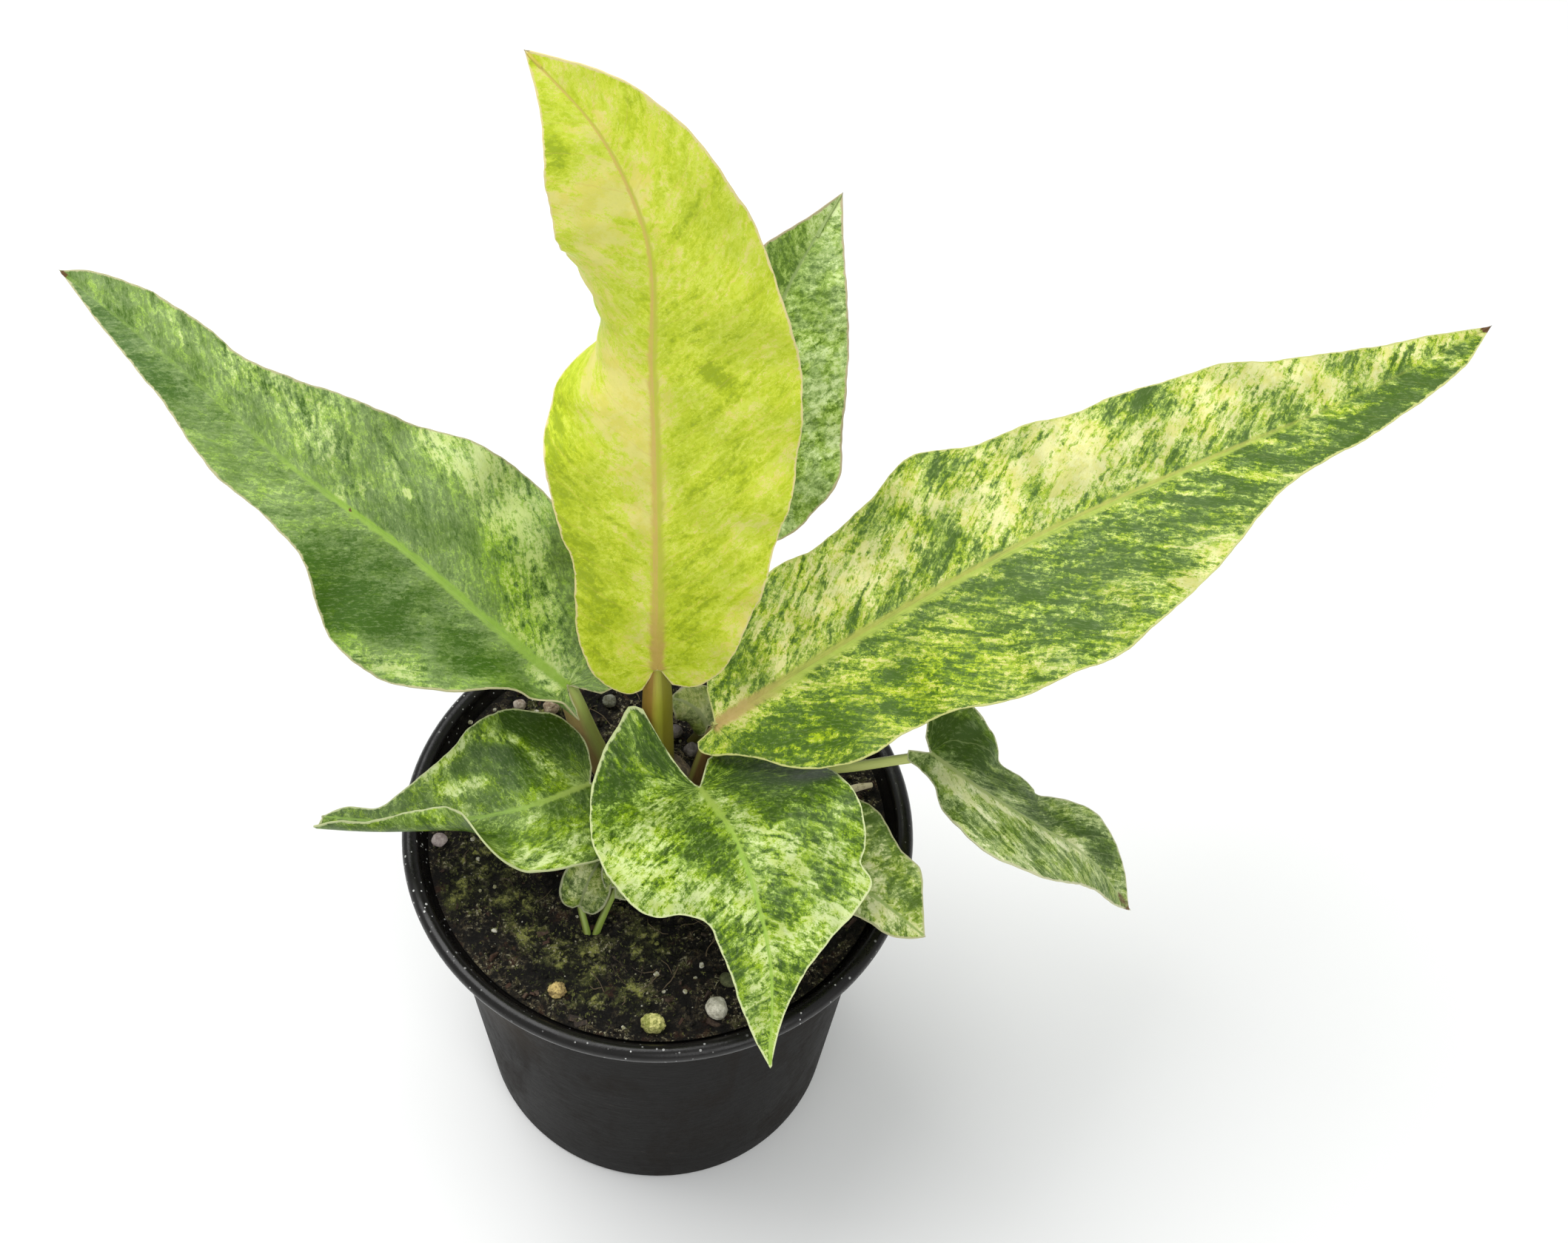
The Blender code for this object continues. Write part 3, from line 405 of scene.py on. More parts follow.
LEAVES = {
    "leaf_young": Leaf(
        petiole=[(0, 13.5, 108), (0.5, 13, 130), (0, 13, 156), (0, 14, 170), (0, 15, 178)],
        petiole_radii=(4.3, 4.1, 4.1, 3.6, 2.2),
        midrib=[(0, 15, 178), (0, 23, 226), (-1, 32, 270), (-3, 38, 310), (-12, 44, 330), (-27, 53, 344)],
        facing=[(0, -1, 0.3), (0, -1, 0.3)],
        left=[(-8, 4), (-9, 7), (-6, 12), (1, 17), (12, 20), (39, 21), (62, 25.5), (80, 26.5),
              (98, 24.5), (115, 23), (130, 20.5), (145, 17.5), (157, 14), (171, 5), (180, 0)],
        right=[(-6, 4), (-6, 9), (-1, 15), (16, 22), (42, 28), (80, 34), (105, 33), (128, 25), (150, 18),
               (167, 9), (180, 0)],
        fold_left=[(0, 10), (1, 14)], fold_right=[(0, 10), (1, 14)],
        curl_left=[(0, 0), (0.38, 0), (0.46, -24), (0.52, -54), (0.57, -60), (0.6, -52), (0.64, -41),
                   (0.68, -33), (0.73, -25), (0.78, -15), (0.89, 0), (1, 0)],),
    "leaf_rear": Leaf(
        petiole=[(-1.5, 22.4, 108), (0.2, 30, 135), (8, 44, 168), (19, 56, 200)],
        petiole_radii=(2.6, 2.4, 2.0, 1.7),
        midrib=[(19, 56, 200), (25, 69, 225), (32, 82, 245), (46, 100, 262)],
        facing=[(0, -1, 1), (0, -1, 1)],
        left=[(-11, 5), (-13, 10), (-9, 18), (2, 25), (16, 27), (34, 23), (50, 17), (62, 11), (72, 5),
              (82, 0)],
        right=[(-11, 5), (-12, 10), (-8, 17), (3, 24), (14, 28), (28, 25), (42, 22), (54, 18), (66, 11),
               (76, 4), (82, 0)],
        fold_left=[(0, 30), (1, 25)], fold_right=[(0, 25), (1, 20)],),
    "leaf_left": Leaf(
        petiole=[(-8.5, 14.3, 108), (-13, 15.5, 122), (-19, 17.5, 140), (-24, 20, 162)],
        petiole_radii=(3.3, 3.4, 3.6, 2.8),
        midrib=[(-24, 20, 162), (-38, 25, 175), (-65, 35, 202), (-90, 44, 222), (-114, 59, 238),
                (-148, 83, 252)],
        facing=[(-0.3, -0.3, 1), (-0.3, -0.3, 1)],
        left=[(-6, 4), (-7, 8), (-2, 11), (8, 13), (20, 17), (31, 24.5), (40, 29.5), (51, 30.5),
              (62, 29.5), (71, 24), (80, 17), (93, 14), (106, 14), (128, 9), (153, 4), (169, 0)],
        right=[(-9, 4), (-11, 9), (-8, 18), (4, 27), (25, 33), (44, 35), (57, 34), (76, 27), (96, 22),
               (108, 17), (118, 13), (134, 12), (152, 9), (164, 4), (169, 0)],
        fold_left=[(0, 0), (0.2, 12), (0.4, 12), (1, 10)], fold_right=[(0, 14), (1, 10)],
        curl_left=[(0, 105), (0.06, 60), (0.17, 10), (0.3, 0), (1, 0)]),
    "leaf_right": Leaf(
        petiole=[(8.2, 11.8, 108), (9.5, 10.5, 122), (11.1, 9, 135), (15.5, 10, 157.5)],
        petiole_radii=(2.6, 2.5, 2.4, 2.4),
        midrib=[(15.5, 10, 157.5), (31, 15, 168), (64, 26, 188), (98, 37, 205), (138, 50, 218),
                (179, 66, 226), (214, 85, 230)],
        facing=[(0, -0.2, 1), (0, -0.2, 1)],
        left=[(3, 9.5), (5, 12), (13, 17), (24, 22), (36, 27.5), (46, 25.5), (53, 26), (65, 30),
              (80, 33), (96, 28.5), (114, 26), (134, 24), (154, 22), (168, 18), (195, 10), (213, 5),
              (228, 0)],
        right=[(-6.5, 1.2), (-7, 3.5), (-5, 6.5), (0, 9.5), (5, 13), (14, 22), (24, 28), (35, 31.5),
               (46, 30), (57, 32), (67, 35), (81, 38), (95, 39), (107, 38), (117, 35), (128, 30),
               (139, 25), (149, 19), (157, 15.5), (180, 12), (197, 9.5), (215, 6), (228, 0)],
        fold_left=[(0, 16), (1, 10)], fold_right=[(0, 10), (1, 8)],),
    "leaf_front": Leaf(
        petiole=[(0.7, 5.5, 108), (2, 3, 125), (7, -1, 142), (11, -6, 152)],
        petiole_radii=(2.4, 2.2, 2.0, 1.8),
        midrib=[(11, -6, 152), (20, -25, 158), (25, -41, 156), (28, -54, 150), (28, -77, 136)],
        facing=[(0, -0.1, 1), (0, -0.3, 1)],
        left=[(-9, 6.5), (-10.5, 11), (-10, 16), (-6, 22), (0, 26), (9, 29), (18, 31), (27, 32),
              (34, 30), (37, 28), (41, 29), (46, 24), (51, 16), (57, 9), (65, 4), (81, 0)],
        right=[(-16.5, 5.8), (-17.2, 8), (-15.5, 13), (-12, 21), (-7, 27), (2, 32), (15, 35), (27, 34),
               (35, 31), (38, 26), (38.5, 20), (42, 14), (50, 12), (62, 9), (72, 5), (81, 0)],
        fold_left=[(0, -5), (0.3, 10), (1, 8)],
        lobe_lift=(0, 26)),
    "leaf_front_left": Leaf(
        petiole=[(-5.5, 7.5, 108), (-8, 6, 122), (-13, 2.5, 136), (-18, -0.5, 145)],
        petiole_radii=(2.2, 2.0, 1.8, 1.6),
        midrib=[(-18, -0.5, 145), (-34, -11.3, 151.3), (-48, -13.4, 149), (-68, -11, 143), (-89, -8, 141)],
        facing=[(0, -0.1, 1), (0, -0.1, 1)],
        left=[(-4, 3), (-7, 12), (-2, 19), (8, 23), (18, 22.5), (28, 18.5), (38, 13.5), (50, 11),
              (62, 10), (73, 10), (78, 7), (79, 0)],
        right=[(-3, 4), (-5, 12), (-1, 21), (8, 26), (20, 28), (34, 24), (48, 16.5), (56, 9), (62, 4),
               (72, 3), (79, 0)],
        fold_left=[(0, 6), (0.4, 8), (0.6, 0), (1, 0)],
        curl_left=[(0, 0), (0.3, 5), (0.58, 160), (1, 110)]),
    "leaf_front_right": Leaf(
        petiole=[(5.5, 7.5, 108), (12, 2, 124), (22, -5, 134), (29, -10, 138)],
        petiole_radii=(2.0, 1.8, 1.7, 1.6),
        midrib=[(29, -10, 138), (45, -23, 141), (58, -33, 140), (69, -41, 136)],
        facing=[(0, -0.1, 1), (0.3, -0.1, 1)],
        left=[(-5, 3), (-9, 10), (-2, 18), (12, 20), (24, 19), (33, 15), (40, 14), (46, 7), (52, 0)],
        right=[(-5, 3), (-9, 10), (-2, 18), (12, 18), (26, 12), (36, 8), (43, 7), (49, 3), (52, 0)]),
    "leaf_far_right": Leaf(
        petiole=[(8, 16.9, 108), (14, 16, 121), (30, 12, 133), (50, 7, 141.5), (73, 8, 147)],
        petiole_radii=(1.9, 1.7, 1.5, 1.4, 1.4),
        midrib=[(73, 8, 147), (84, -2, 147), (100, -11, 142), (115, -14, 130), (129, -20, 111)],
        facing=[(0, -0.1, 1), (0.3, -0.1, 1)],
        left=[(-4, 3), (-8, 11), (-3, 17.5), (9, 17.5), (20, 16), (30, 16.5), (42, 15), (56, 13),
              (66, 9), (77, 0)],
        right=[(-5, 3), (-4, 5), (1, 5.5), (7, 7), (12, 11), (18, 14.5), (27, 17), (36, 15.5),
               (48, 11.5), (60, 7), (70, 4), (77, 0)],
        fold_left=[(0, 5), (0.08, -8), (0.22, -30), (0.45, -30), (0.7, 0), (1, 8)],
        curl_right=[(0, -70), (0.12, -40), (0.24, 0), (1, 0)]),
    "leaf_low": Leaf(
        petiole=[(4.9, 21, 108), (8, 27, 118), (14, 28.5, 129)],
        petiole_radii=(1.6, 1.5, 1.2),
        midrib=[(14, 28.5, 129), (11, 31, 133), (7.5, 32.5, 135), (3.4, 33.5, 135.5)],
        facing=[(0, -0.2, 1), (0, -0.2, 1)],
        left=[(-2, 2), (-1, 6), (4, 10), (9, 8), (12, 4), (14, 0)],
        right=[(-2, 2), (-1, 5), (4, 8), (9, 6), (12, 3), (14, 0)],
        fold_left=[(0, 0), (1, 0)], fold_right=[(0, 10), (1, 10)],
        curl_left=[(0, -190), (0.6, -150), (1, -60)],),
}

SEEDLING_LEAVES = [
    Leaf(
        petiole=[(-18.2, -33.4, 112), (-18.4, -33, 119), (-20.6, -27.4, 128)],
        petiole_radii=(1.0, 1.0, 0.9),
        midrib=[(-20.6, -27.4, 128), (-18, -23, 134), (-14, -17, 137)],
        facing=[(0, -0.8, 1), (0, -0.3, 1)],
        left=[(-1, 2), (0, 5), (6, 7.5), (12, 5), (16, 0)],
        right=[(-1, 2), (0, 5), (6, 7.5), (12, 5), (16, 0)],
        fold_left=[(0, 35), (1, 15)], fold_right=[(0, 35), (1, 15)]),
    Leaf(
        petiole=[(-17.4, -32.6, 112), (-16.8, -32.6, 119), (-11, -26, 135)],
        petiole_radii=(1.0, 1.0, 0.9),
        midrib=[(-11, -26, 135), (-6, -22, 139), (1, -18, 140)],
        facing=[(0, -0.3, 1), (0, -0.1, 1)],
        left=[(-2, 2), (0, 5), (6, 7), (12, 4), (16, 0)],
        right=[(-2, 2), (0, 5), (6, 7), (12, 4), (16, 0)],
        fold_left=[(0, 20), (1, 10)], fold_right=[(0, 20), (1, 10)]),
]

ROOT_PATH = [(40, 5, 112), (44.5, 7, 119), (50, 9.2, 123.4), (55, 11, 124.2), (59.6, 12.4, 123.6)]
ROOT_RADII = (1.2, 1.2, 1.15, 1.1, 0.7)

# %% [markdown]
# The blade is addressed in flat leaf coordinates: so far along the midrib, and so far across,
# with left negative. This class bends that flat sheet into its real shape, and lays out rungs
# that fan round the lobes at the foot and then follow the side veins to the tip.

# %% Bending a flat blade
VEIN_SLOPE = 0.45               # mm forward for each mm out from the midrib
WAVE_REACH = 22.0               # distance from the midrib where the margin's wave has its full lift
WAVE_LIMIT = 1.4
WAVE_ONSET = 0.15
WAVE_LEAD = 0.35
OUTLINE_POINTS = 900
RIPPLES = ((0.06, 4.3), (0.08, 9.7), (0.10, 17.3))     # depth and spacing along the margin
RIPPLE_ONSET = 8.0              # the ripple has its full depth where the blade is this wide
LOBE_REACH = 20.0               # how far behind the foot a lobe's rise is measured
FAN_SPACING = 0.6               # spacing of the veins in the lobes, as a share of the margin's length
CROWDING = 1.2                  # above 1, the points of a rung crowd towards the midrib
SINUS_POINTS = 20
CENTIMETRE = 10.0


class Blade:
    """The blade of one leaf, addressed in flat millimetres along and across."""

    SAMPLES = 121

    def __init__(self, leaf):
        self.leaf = leaf
        self.path = smooth_path(leaf.midrib, self.SAMPLES)
        self.length = np.linalg.norm(np.diff(self.path, axis=0), axis=1).sum()
        self.tangent = unit(np.gradient(self.path, axis=0))
        facing = spread(leaf.facing, np.linspace(0, 1, self.SAMPLES))
        along = (facing * self.tangent).sum(1, keepdims=True)
        self.normal = unit(facing - along * self.tangent)
        self.side = np.cross(self.tangent, self.normal)

    def point(self, along, across):
        """Where flat points lie in space once the blade is folded, curled and waved."""
        leaf = self.leaf
        where = np.clip(along / self.length, 0, 1)
        midrib, tangent, normal, side = (spread(v, where)
                                         for v in (self.path, self.tangent, self.normal, self.side))
        reach = np.abs(across)
        is_left = across < 0
        fold, curl = (np.radians(np.where(is_left, eased(left, where), eased(right, where)))
                      for left, right in ((leaf.fold_left, leaf.fold_right),
                                          (leaf.curl_left, leaf.curl_right)))
        curl = curl / CENTIMETRE
        curl = np.where(np.abs(curl) < 1e-5, 1e-5, curl)
        out = (np.sin(fold + curl * reach) - np.sin(fold)) / curl
        up = (np.cos(fold) - np.cos(fold + curl * reach)) / curl
        behind = np.minimum(along, 0.0)
        lift = np.where(is_left, leaf.lobe_lift[0], leaf.lobe_lift[1])
        up = up + lift * (behind / LOBE_REACH) ** 2
        rise, spacing, start = leaf.wave
        turns = along / spacing + start + WAVE_LEAD * is_left
        fade = np.minimum(where / WAVE_ONSET, 1.0) * np.minimum(reach / WAVE_REACH, WAVE_LIMIT) ** 2
        up = up + rise * fade * np.sin(math.tau * turns)
        return (midrib + tangent * behind[..., None]
                + side * (np.sign(across) * out)[..., None] + normal * up[..., None])

    def half(self, outline, sign, lobe_rungs, rungs, steps):
        """Flat (along, across) and vein number of one half: rung by rung, midrib to margin."""
        outline = list(outline[:-1]) + [(self.length, 0.0)]
        margin = smooth_path(outline, OUTLINE_POINTS)
        walked = walked_along(margin)
        ripple = sum(depth * np.sin(math.tau * walked / spacing + sign * self.length)
                     for depth, spacing in RIPPLES)
        margin[:, 1] += ripple * np.clip(margin[:, 1] / RIPPLE_ONSET, 0, 1)
        foot = np.maximum.accumulate(np.maximum(margin[:, 0] - VEIN_SLOPE * margin[:, 1], 0.0))
        q = np.linspace(0, 1, len(margin))
        fan_end = q[np.argmax(foot > 0)]
        stations = self.length * np.linspace(0, 1, rungs + 1)[1:]
        q_rung = np.concatenate([np.linspace(0, fan_end, lobe_rungs),
                                 np.interp(stations[:-1], foot + 1e-6 * q, q), [1.0]])
        feet = np.concatenate([np.zeros(lobe_rungs), stations])
        ends = np.stack([np.interp(q_rung, q, margin[:, k]) for k in range(2)], axis=1)
        vein = feet + np.minimum(q_rung - fan_end, 0) * walked[-1] * FAN_SPACING
        t = np.linspace(0, 1, steps + 1)[None, :] ** CROWDING
        along = feet[:, None] * (1 - t) + ends[:, :1] * t
        across = sign * ends[:, 1:] * t
        sinus = np.linspace([0.0, 0.0], margin[0], SINUS_POINTS)
        return along, across, np.repeat(vein[:, None], steps + 1, 1), np.concatenate([sinus, margin])

    def sheet(self, lobe_rungs, rungs, steps):
        """Both halves side by side: along, across, vein number and distance from the margin."""
        left = self.half(self.leaf.left, -1.0, lobe_rungs, rungs, steps)
        right = self.half(self.leaf.right, 1.0, lobe_rungs, rungs, steps)
        parts = [np.concatenate([a[:, :0:-1], b], axis=1) for a, b in zip(left[:3], right[:3])]
        along, across, vein = parts
        edge = np.empty_like(along)
        for columns, margin in ((slice(0, steps + 1), left[3]), (slice(steps, None), right[3])):
            flat = np.stack([along[:, columns], np.abs(across[:, columns])], axis=-1)
            gaps = np.linalg.norm(flat[:, :, None] - margin[None, None], axis=-1)
            edge[:, columns] = gaps.min(axis=-1)
        return along, across, vein, edge


# %% [markdown]
# The variegation is genetic chance, but not even chance: whole sectors are cream, others stay
# deep green. Each leaf lists a few broad strokes, from one flat point to another with a width
# and a strength. A material later breaks these soft strokes up into streaks along the veins.

# %% Where each leaf is pale, fresh or deep
@dataclass
class Look:
    """Five tones of a leaf from deep to cream (linear), its strokes, and how its paint breaks up."""
    deep: tuple
    green: tuple
    fresh: tuple
    lime: tuple
    cream: tuple
    midrib: tuple
    # painted light: the right flank's tone stands for how the light falls on that side
    midrib_right_shading: tuple             # its right flank
    foot: tuple                     # the midrib where the stalk joins
    margin: tuple
    strokes: dict
    bias: float = 0.50              # above 0.5 the whole leaf is paler
    contrast: float = 1.0           # strength of the noise
    zoning: float = 1.0             # strength of the strokes
    net: float = 1.0                # how much of the strands and islands shows
    calm: float = 0.70              # strength of the noise away from the pale zones
    rib_end: float = 1000.0         # mm along the blade where the midrib has melted into it
    fresh_share: float = 0.75       # strength of the fresher patches
    # the fine ridges take a painted sheen on top and painted shade between them
    ridge_shading: float = 0.24             # strength of the fine pale and dark ridges
    slant: float = 0.0              # how much further forward the streaks lean than the rungs
    grain: tuple = (0.16, 0.34)     # streak noise along and across the side veins, per mm
    gloss: float = 0.40
    sheen: float = 0.22
    vein_strength: float = 0.10
    rib_height: float = 0.5
    rib_width: float = 1.4
    under: tuple = (0.20, 0.27, 0.10)
    stalk_low: tuple = (0.13, 0.12, 0.02)
    stalk_high: tuple = (0.16, 0.21, 0.03)
    stalk_flank: tuple = (0.11, 0.10, 0.02)


LOOKS = {
    "leaf_young": Look(
        (0.32, 0.41, 0.01), (0.50, 0.60, 0.022), (0.59, 0.68, 0.045),
        (0.66, 0.73, 0.08), (0.78, 0.71, 0.21),
        (0.60, 0.43, 0.11), (0.50, 0.50, 0.06), (0.50, 0.32, 0.09), (0.72, 0.62, 0.28),
        {"cream": [(101, -32, 83, -3, 9, 1.1), (143, -5, 106, -30, 9, 1), (155, -11, 119, -22, 11, 0.7),
                   (83, -4, 46, -3, 6, 0.9), (12, -7, 1, -4, 4, 1), (153, -14, 134, -15, 8, 0.5),
                   (25, 23, -1, 14, 6, 0.5), (46, -3, 14, -3, 3, 0.5)],
         "deep": [(90, -24, 52, -25, 6, 0.7), (50, -21, 18, -14, 6, 0.6), (83, 4, 66, 13, 10, 0.4),
                  (37, 2, 7, 6, 12, 0.4), (58, -16, 39, -9, 9, 0.4), (20, -10, 9, -5, 6, 0.45),
                  (8, -4, 2, -5, 4, 1.0), (160, -10, 156, -11, 4, 1.4), (136, -16, 119, -19, 4, 0.7),
                  (104, -18, 89, -13, 3, 0.9), (150, 12, 140, 11, 8, 0.1), (29, -16, 7, -13, 8, 0.3),
                  (104, 3, 83, 8, 10, 0.2), (96, 13, 93, 17, 3, 0.9), (121, -18, 119, -17, 2, 0.8),
                  (114, -26, 113, -28, 2, 0.6)]},
        bias=0.602, contrast=0.85, zoning=2.1, slant=0.4, net=0.8, calm=0.62, fresh_share=0.35,
        ridge_shading=0.10, grain=(0.12, 0.22), gloss=0.46, vein_strength=0.2, rib_height=1.2, rib_width=2.2,
        under=(0.46, 0.54, 0.12), stalk_low=(0.17, 0.15, 0.012), stalk_high=(0.22, 0.20, 0.015),
        stalk_flank=(0.30, 0.17, 0.025)),
    "leaf_rear": Look(
        (0.1, 0.17, 0.035), (0.25, 0.35, 0.11), (0.33, 0.45, 0.15), (0.45, 0.57, 0.22), (0.66, 0.76, 0.4),
        (0.26, 0.34, 0.12), (0.26, 0.34, 0.12), (0.26, 0.30, 0.12), (0.42, 0.36, 0.22),
        {"cream": [(47, 5, 42, 14, 6, 0.3), (34, 13, 30, 23, 6, 0.4), (20, 21, 14, 27, 6, 0.3),
                   (78, -1, 75, 2, 3, 0.8)],
         "lime": [(68, 1, 74, 1, 5, 0.5), (36, 19, 22, 26, 4, 0.4), (18, 16, 16, 20, 4, 0.3)],
         "deep": [(61, -9, 58, 2, 9, 0.5), (13, 23, 11, 27, 5, 0.6), (25, 11, 34, 13, 5, 0.3)],
         "fresh": [(70, -6, 50, -4, 8, 0.9)]},
        bias=0.53, contrast=1.25, net=1.0, calm=0.65, grain=(0.3, 0.45)),
    "leaf_left": Look(
        (0.05, 0.12, 0.008), (0.19, 0.28, 0.09), (0.25, 0.36, 0.115),
        (0.38, 0.55, 0.13), (0.66, 0.76, 0.32),
        (0.31, 0.49, 0.07), (0.27, 0.45, 0.05), (0.26, 0.42, 0.04), (0.46, 0.44, 0.24),
        {"cream": [(66.0, 11.6, 67.0, 12.2, 0.55, 6), (67, 29, 54, 30, 6, 1), (46, 26, 6, 1, 7, 1),
                   (53, 29, 32, 19, 6, 0.7), (54, -28, 37, -24, 4, 0.8), (33, -25, 13, -7, 2, 0.4),
                   (79, 3, 76, 7, 3, 0.6)],
         "lime": [(120, 13, 99, 17, 9, 1), (96, 11, 88, 10, 7, 0.9), (141, 8, 131, 6, 5, 0.6),
                  (76, 16, 71, 14, 4, 0.7), (67, 28, 46, 26, 9, 0.5), (48, -22, 34, -16, 4, 0.8),
                  (73, -20, 73, -16, 4, 0.5), (22, 2, 6, -5, 7, 0.7), (38, -22, 54, -28, 5, 0.7),
                  (163, 1, 154, 3, 3, 0.6), (146, 0, 127, -1, 2.5, 0.5), (48, 4, 37, 4, 6, 0.3)],
         "deep": [(70, -21, 50, -19, 12, 1), (34, -13, 15, -5, 8, 0.7), (15, 3, 4, -19, 7, 0.6),
                  (62, 8, 46, 12, 12, 0.1), (128, -4, 160, -2, 8, 0.5)],
         "fresh": [(74, -22, 62, -26, 8, 1), (18, 5, 42, 16, 9, 0.9), (20, -10, 6, -16, 8, 0.7)],
         "dry": [(75.7, 0, 75.9, 0.2, 0.5, 1), (167, 0, 168, 0, 1.2, 0.6)]},
        bias=0.47, contrast=1.15, zoning=1.35, net=0.7, calm=0.20, fresh_share=0.40, ridge_shading=0.34,
        slant=0.6, rib_end=116.0, grain=(0.22, 0.32), gloss=0.34, rib_height=0.6, rib_width=1.6,
        stalk_low=(0.33, 0.36, 0.08), stalk_high=(0.38, 0.48, 0.10), stalk_flank=(0.42, 0.30, 0.11)),
    "leaf_right": Look(
        (0.065, 0.125, 0.018), (0.15, 0.245, 0.040), (0.3, 0.43, 0.05),
        (0.5, 0.62, 0.12), (0.80, 0.77, 0.36),
        (0.40, 0.42, 0.08), (0.40, 0.50, 0.08), (0.46, 0.32, 0.11), (0.54, 0.55, 0.20),
        {"cream": [(29, -12, 45, -13, 12, 0.7), (52, -14, 71, -13, 10, 1), (68, -35, 88, -11, 8, 1.0),
                   (93, -21, 122, -19, 14, 1.2), (101, -8, 127, -12, 8, 1.1),
                   (124, -14, 151, -14, 12, 0.8), (120, -33, 135, -28, 4, 1), (156, -20, 177, -14, 8, 1),
                   (174, -8, 205, -5, 6, 0.7), (207, -8, 223, -1, 4, 0.8), (125, 30, 135, 27, 4, 1.2),
                   (24, -26, 26, -7, 10, 0.5), (9, 1, 68, 13, 4, 0.5)],
         "lime": [(60, 11, 81, 21, 9, 0.9), (127, -4, 146, -3, 6, 0.6), (127, 20, 138, 22, 7, 0.8),
                  (104, 19, 122, 31, 7, 0.8), (27, 9, 50, 19, 8, 0.7), (81, 32, 101, 35, 10, 0.5),
                  (151, 8, 155, 13, 5, 0.8), (1, -6, 6, 3, 6, 0.9), (114, 8, 125, 7, 8, 0.6),
                  (181, -5, 213, -1, 8, 0.8), (137, -14, 174, -8, 16, 0.5)],
         "deep": [(80, -26, 88, -26, 6, 1.2), (63, -25, 68, -25, 5, 1.0), (71, -7, 78, -9, 6, 1.2),
                  (99, -7, 102, -11, 4, 1.3), (127, -22, 138, -20, 6, 1.7), (89, 6, 101, 10, 8, 0.9),
                  (86, 23, 96, 26, 10, 0.9), (140, 10, 163, 5, 12, 0.9), (96, -28, 99, -28, 3, 1),
                  (119, 23, 125, 23, 8, 0.5), (19, 6, 27, 19, 6, 0.8), (184, -9, 192, -7, 4, 0.9),
                  (210, 3, 220, 2, 3, 1), (107, 30, 115, 29, 8, 0.5), (16, -16, 23, -23, 6, 0.6),
                  (12, 17, 205, 10, 18, 0.75), (168, 13, 200, 5, 9, 1.2)],
         "fresh": [(2, 14, 66, 22, 17, 1), (5, -30, 30, -34, 8, 0.6), (158, 20, 168, 17, 6, 0.7)],
         "dry": [(226, 0, 229, 0, 1.3, 1), (129, 36.6, 130, 36.2, 1, 1), (55, -43, 58, -42, 1.2, 0.9),
                 (72, 38, 74, 38, 0.8, 0.8), (158, 22, 161, 21.5, 0.8, 0.8)]},
        bias=0.533, contrast=1.2, zoning=1.35, net=1.2, calm=0.66, slant=0.6, rib_end=185.0, gloss=0.42,
        rib_height=0.7, rib_width=2.1, stalk_low=(0.16, 0.09, 0.03), stalk_high=(0.22, 0.12, 0.03),
        stalk_flank=(0.13, 0.09, 0.02)),
    "leaf_front": Look(
        (0.035, 0.08, 0.003), (0.11, 0.2, 0.018), (0.22, 0.35, 0.04), (0.38, 0.53, 0.1), (0.66, 0.75, 0.34),
        (0.34, 0.50, 0.08), (0.28, 0.46, 0.05), (0.34, 0.46, 0.08), (0.58, 0.64, 0.32),
        {"fresh": [(-12, -8, 2, -20, 9, 0.8), (60, -6, 80, -2, 8, 0.7)],
         "cream": [(-2, 15, 11, 15, 8, 0.5), (13, 33, 32, 32, 7, 1), (34, 32, 36, 16, 5, 0.9),
                   (42, 7, 49, 5, 7, 0.8), (25, -8, 38, -17, 4, 0.8), (48, -8, 47, -22, 6, 0.8),
                   (34, -20, 41, -27, 4, 0.7), (43, -4, 48, -16, 6, 0.4), (18, -3, 31, -16, 4, 0.5),
                   (25, 26, 31, 16, 6, 0.6)],
         "lime": [(13, 20, 28, 15, 12, 0.6), (31, 2, 39, -11, 10, 0.6), (-14, 18, -15, 11, 4, 0.6),
                  (54, 4, 73, 0, 8, 1), (59, 8, 77, 2, 6, 0.6), (0, -3, 13, -5, 6, 0.5),
                  (20, -19, 31, -24, 6, 0.3)],
         # The third deep stroke, from (-1, -13) to (16, -22), is painted shadow where leaf_right hangs over
         # this leaf.
         "deep": [(-11, 17, -5, 19, 7, 0.9), (-12, 5, -7, 3, 7, 0.7), (-1, -13, 16, -22, 9, 0.8),
                  (14, 8, 21, 7, 5, 0.8), (24, 13, 27, 8, 4, 0.8), (36, -16, 39, -19, 4, 0.8),
                  (45, 9, 56, 9, 5, 0.8), (41, -7, 41, -13, 5, 0.5)]},
        bias=0.462, contrast=1.15, zoning=1.35, net=1.1, calm=0.50, fresh_share=0.9, grain=(0.14, 0.46),
        gloss=0.40, rib_width=1.0),
    "leaf_front_left": Look(
        (0.03, 0.07, 0.003), (0.09, 0.16, 0.02), (0.18, 0.28, 0.045), (0.33, 0.46, 0.1), (0.62, 0.72, 0.32),
        (0.22, 0.36, 0.05), (0.20, 0.33, 0.04), (0.30, 0.40, 0.08), (0.44, 0.48, 0.24),
        {"cream": [(51, 14, 34, 22, 2.2, 1), (34, 22, 15, 19, 2.2, 1.1), (15, 19, 8, 8, 2.4, 0.9),
                   (44, 8, 30, 10, 2, 0.8), (33, 15, 14, 9, 2, 0.4), (25, -13, 19, -20, 5, 0.5)],
         "lime": [(22, -14, 13, -11, 6, 0.8), (35, -38, 19, -1, 5, 0.5), (53, 10, 44, 14, 3, 0.4),
                  (5, 14, 4, 4, 5, 0.5), (54, -40, 39, 2, 3, 0.5)],
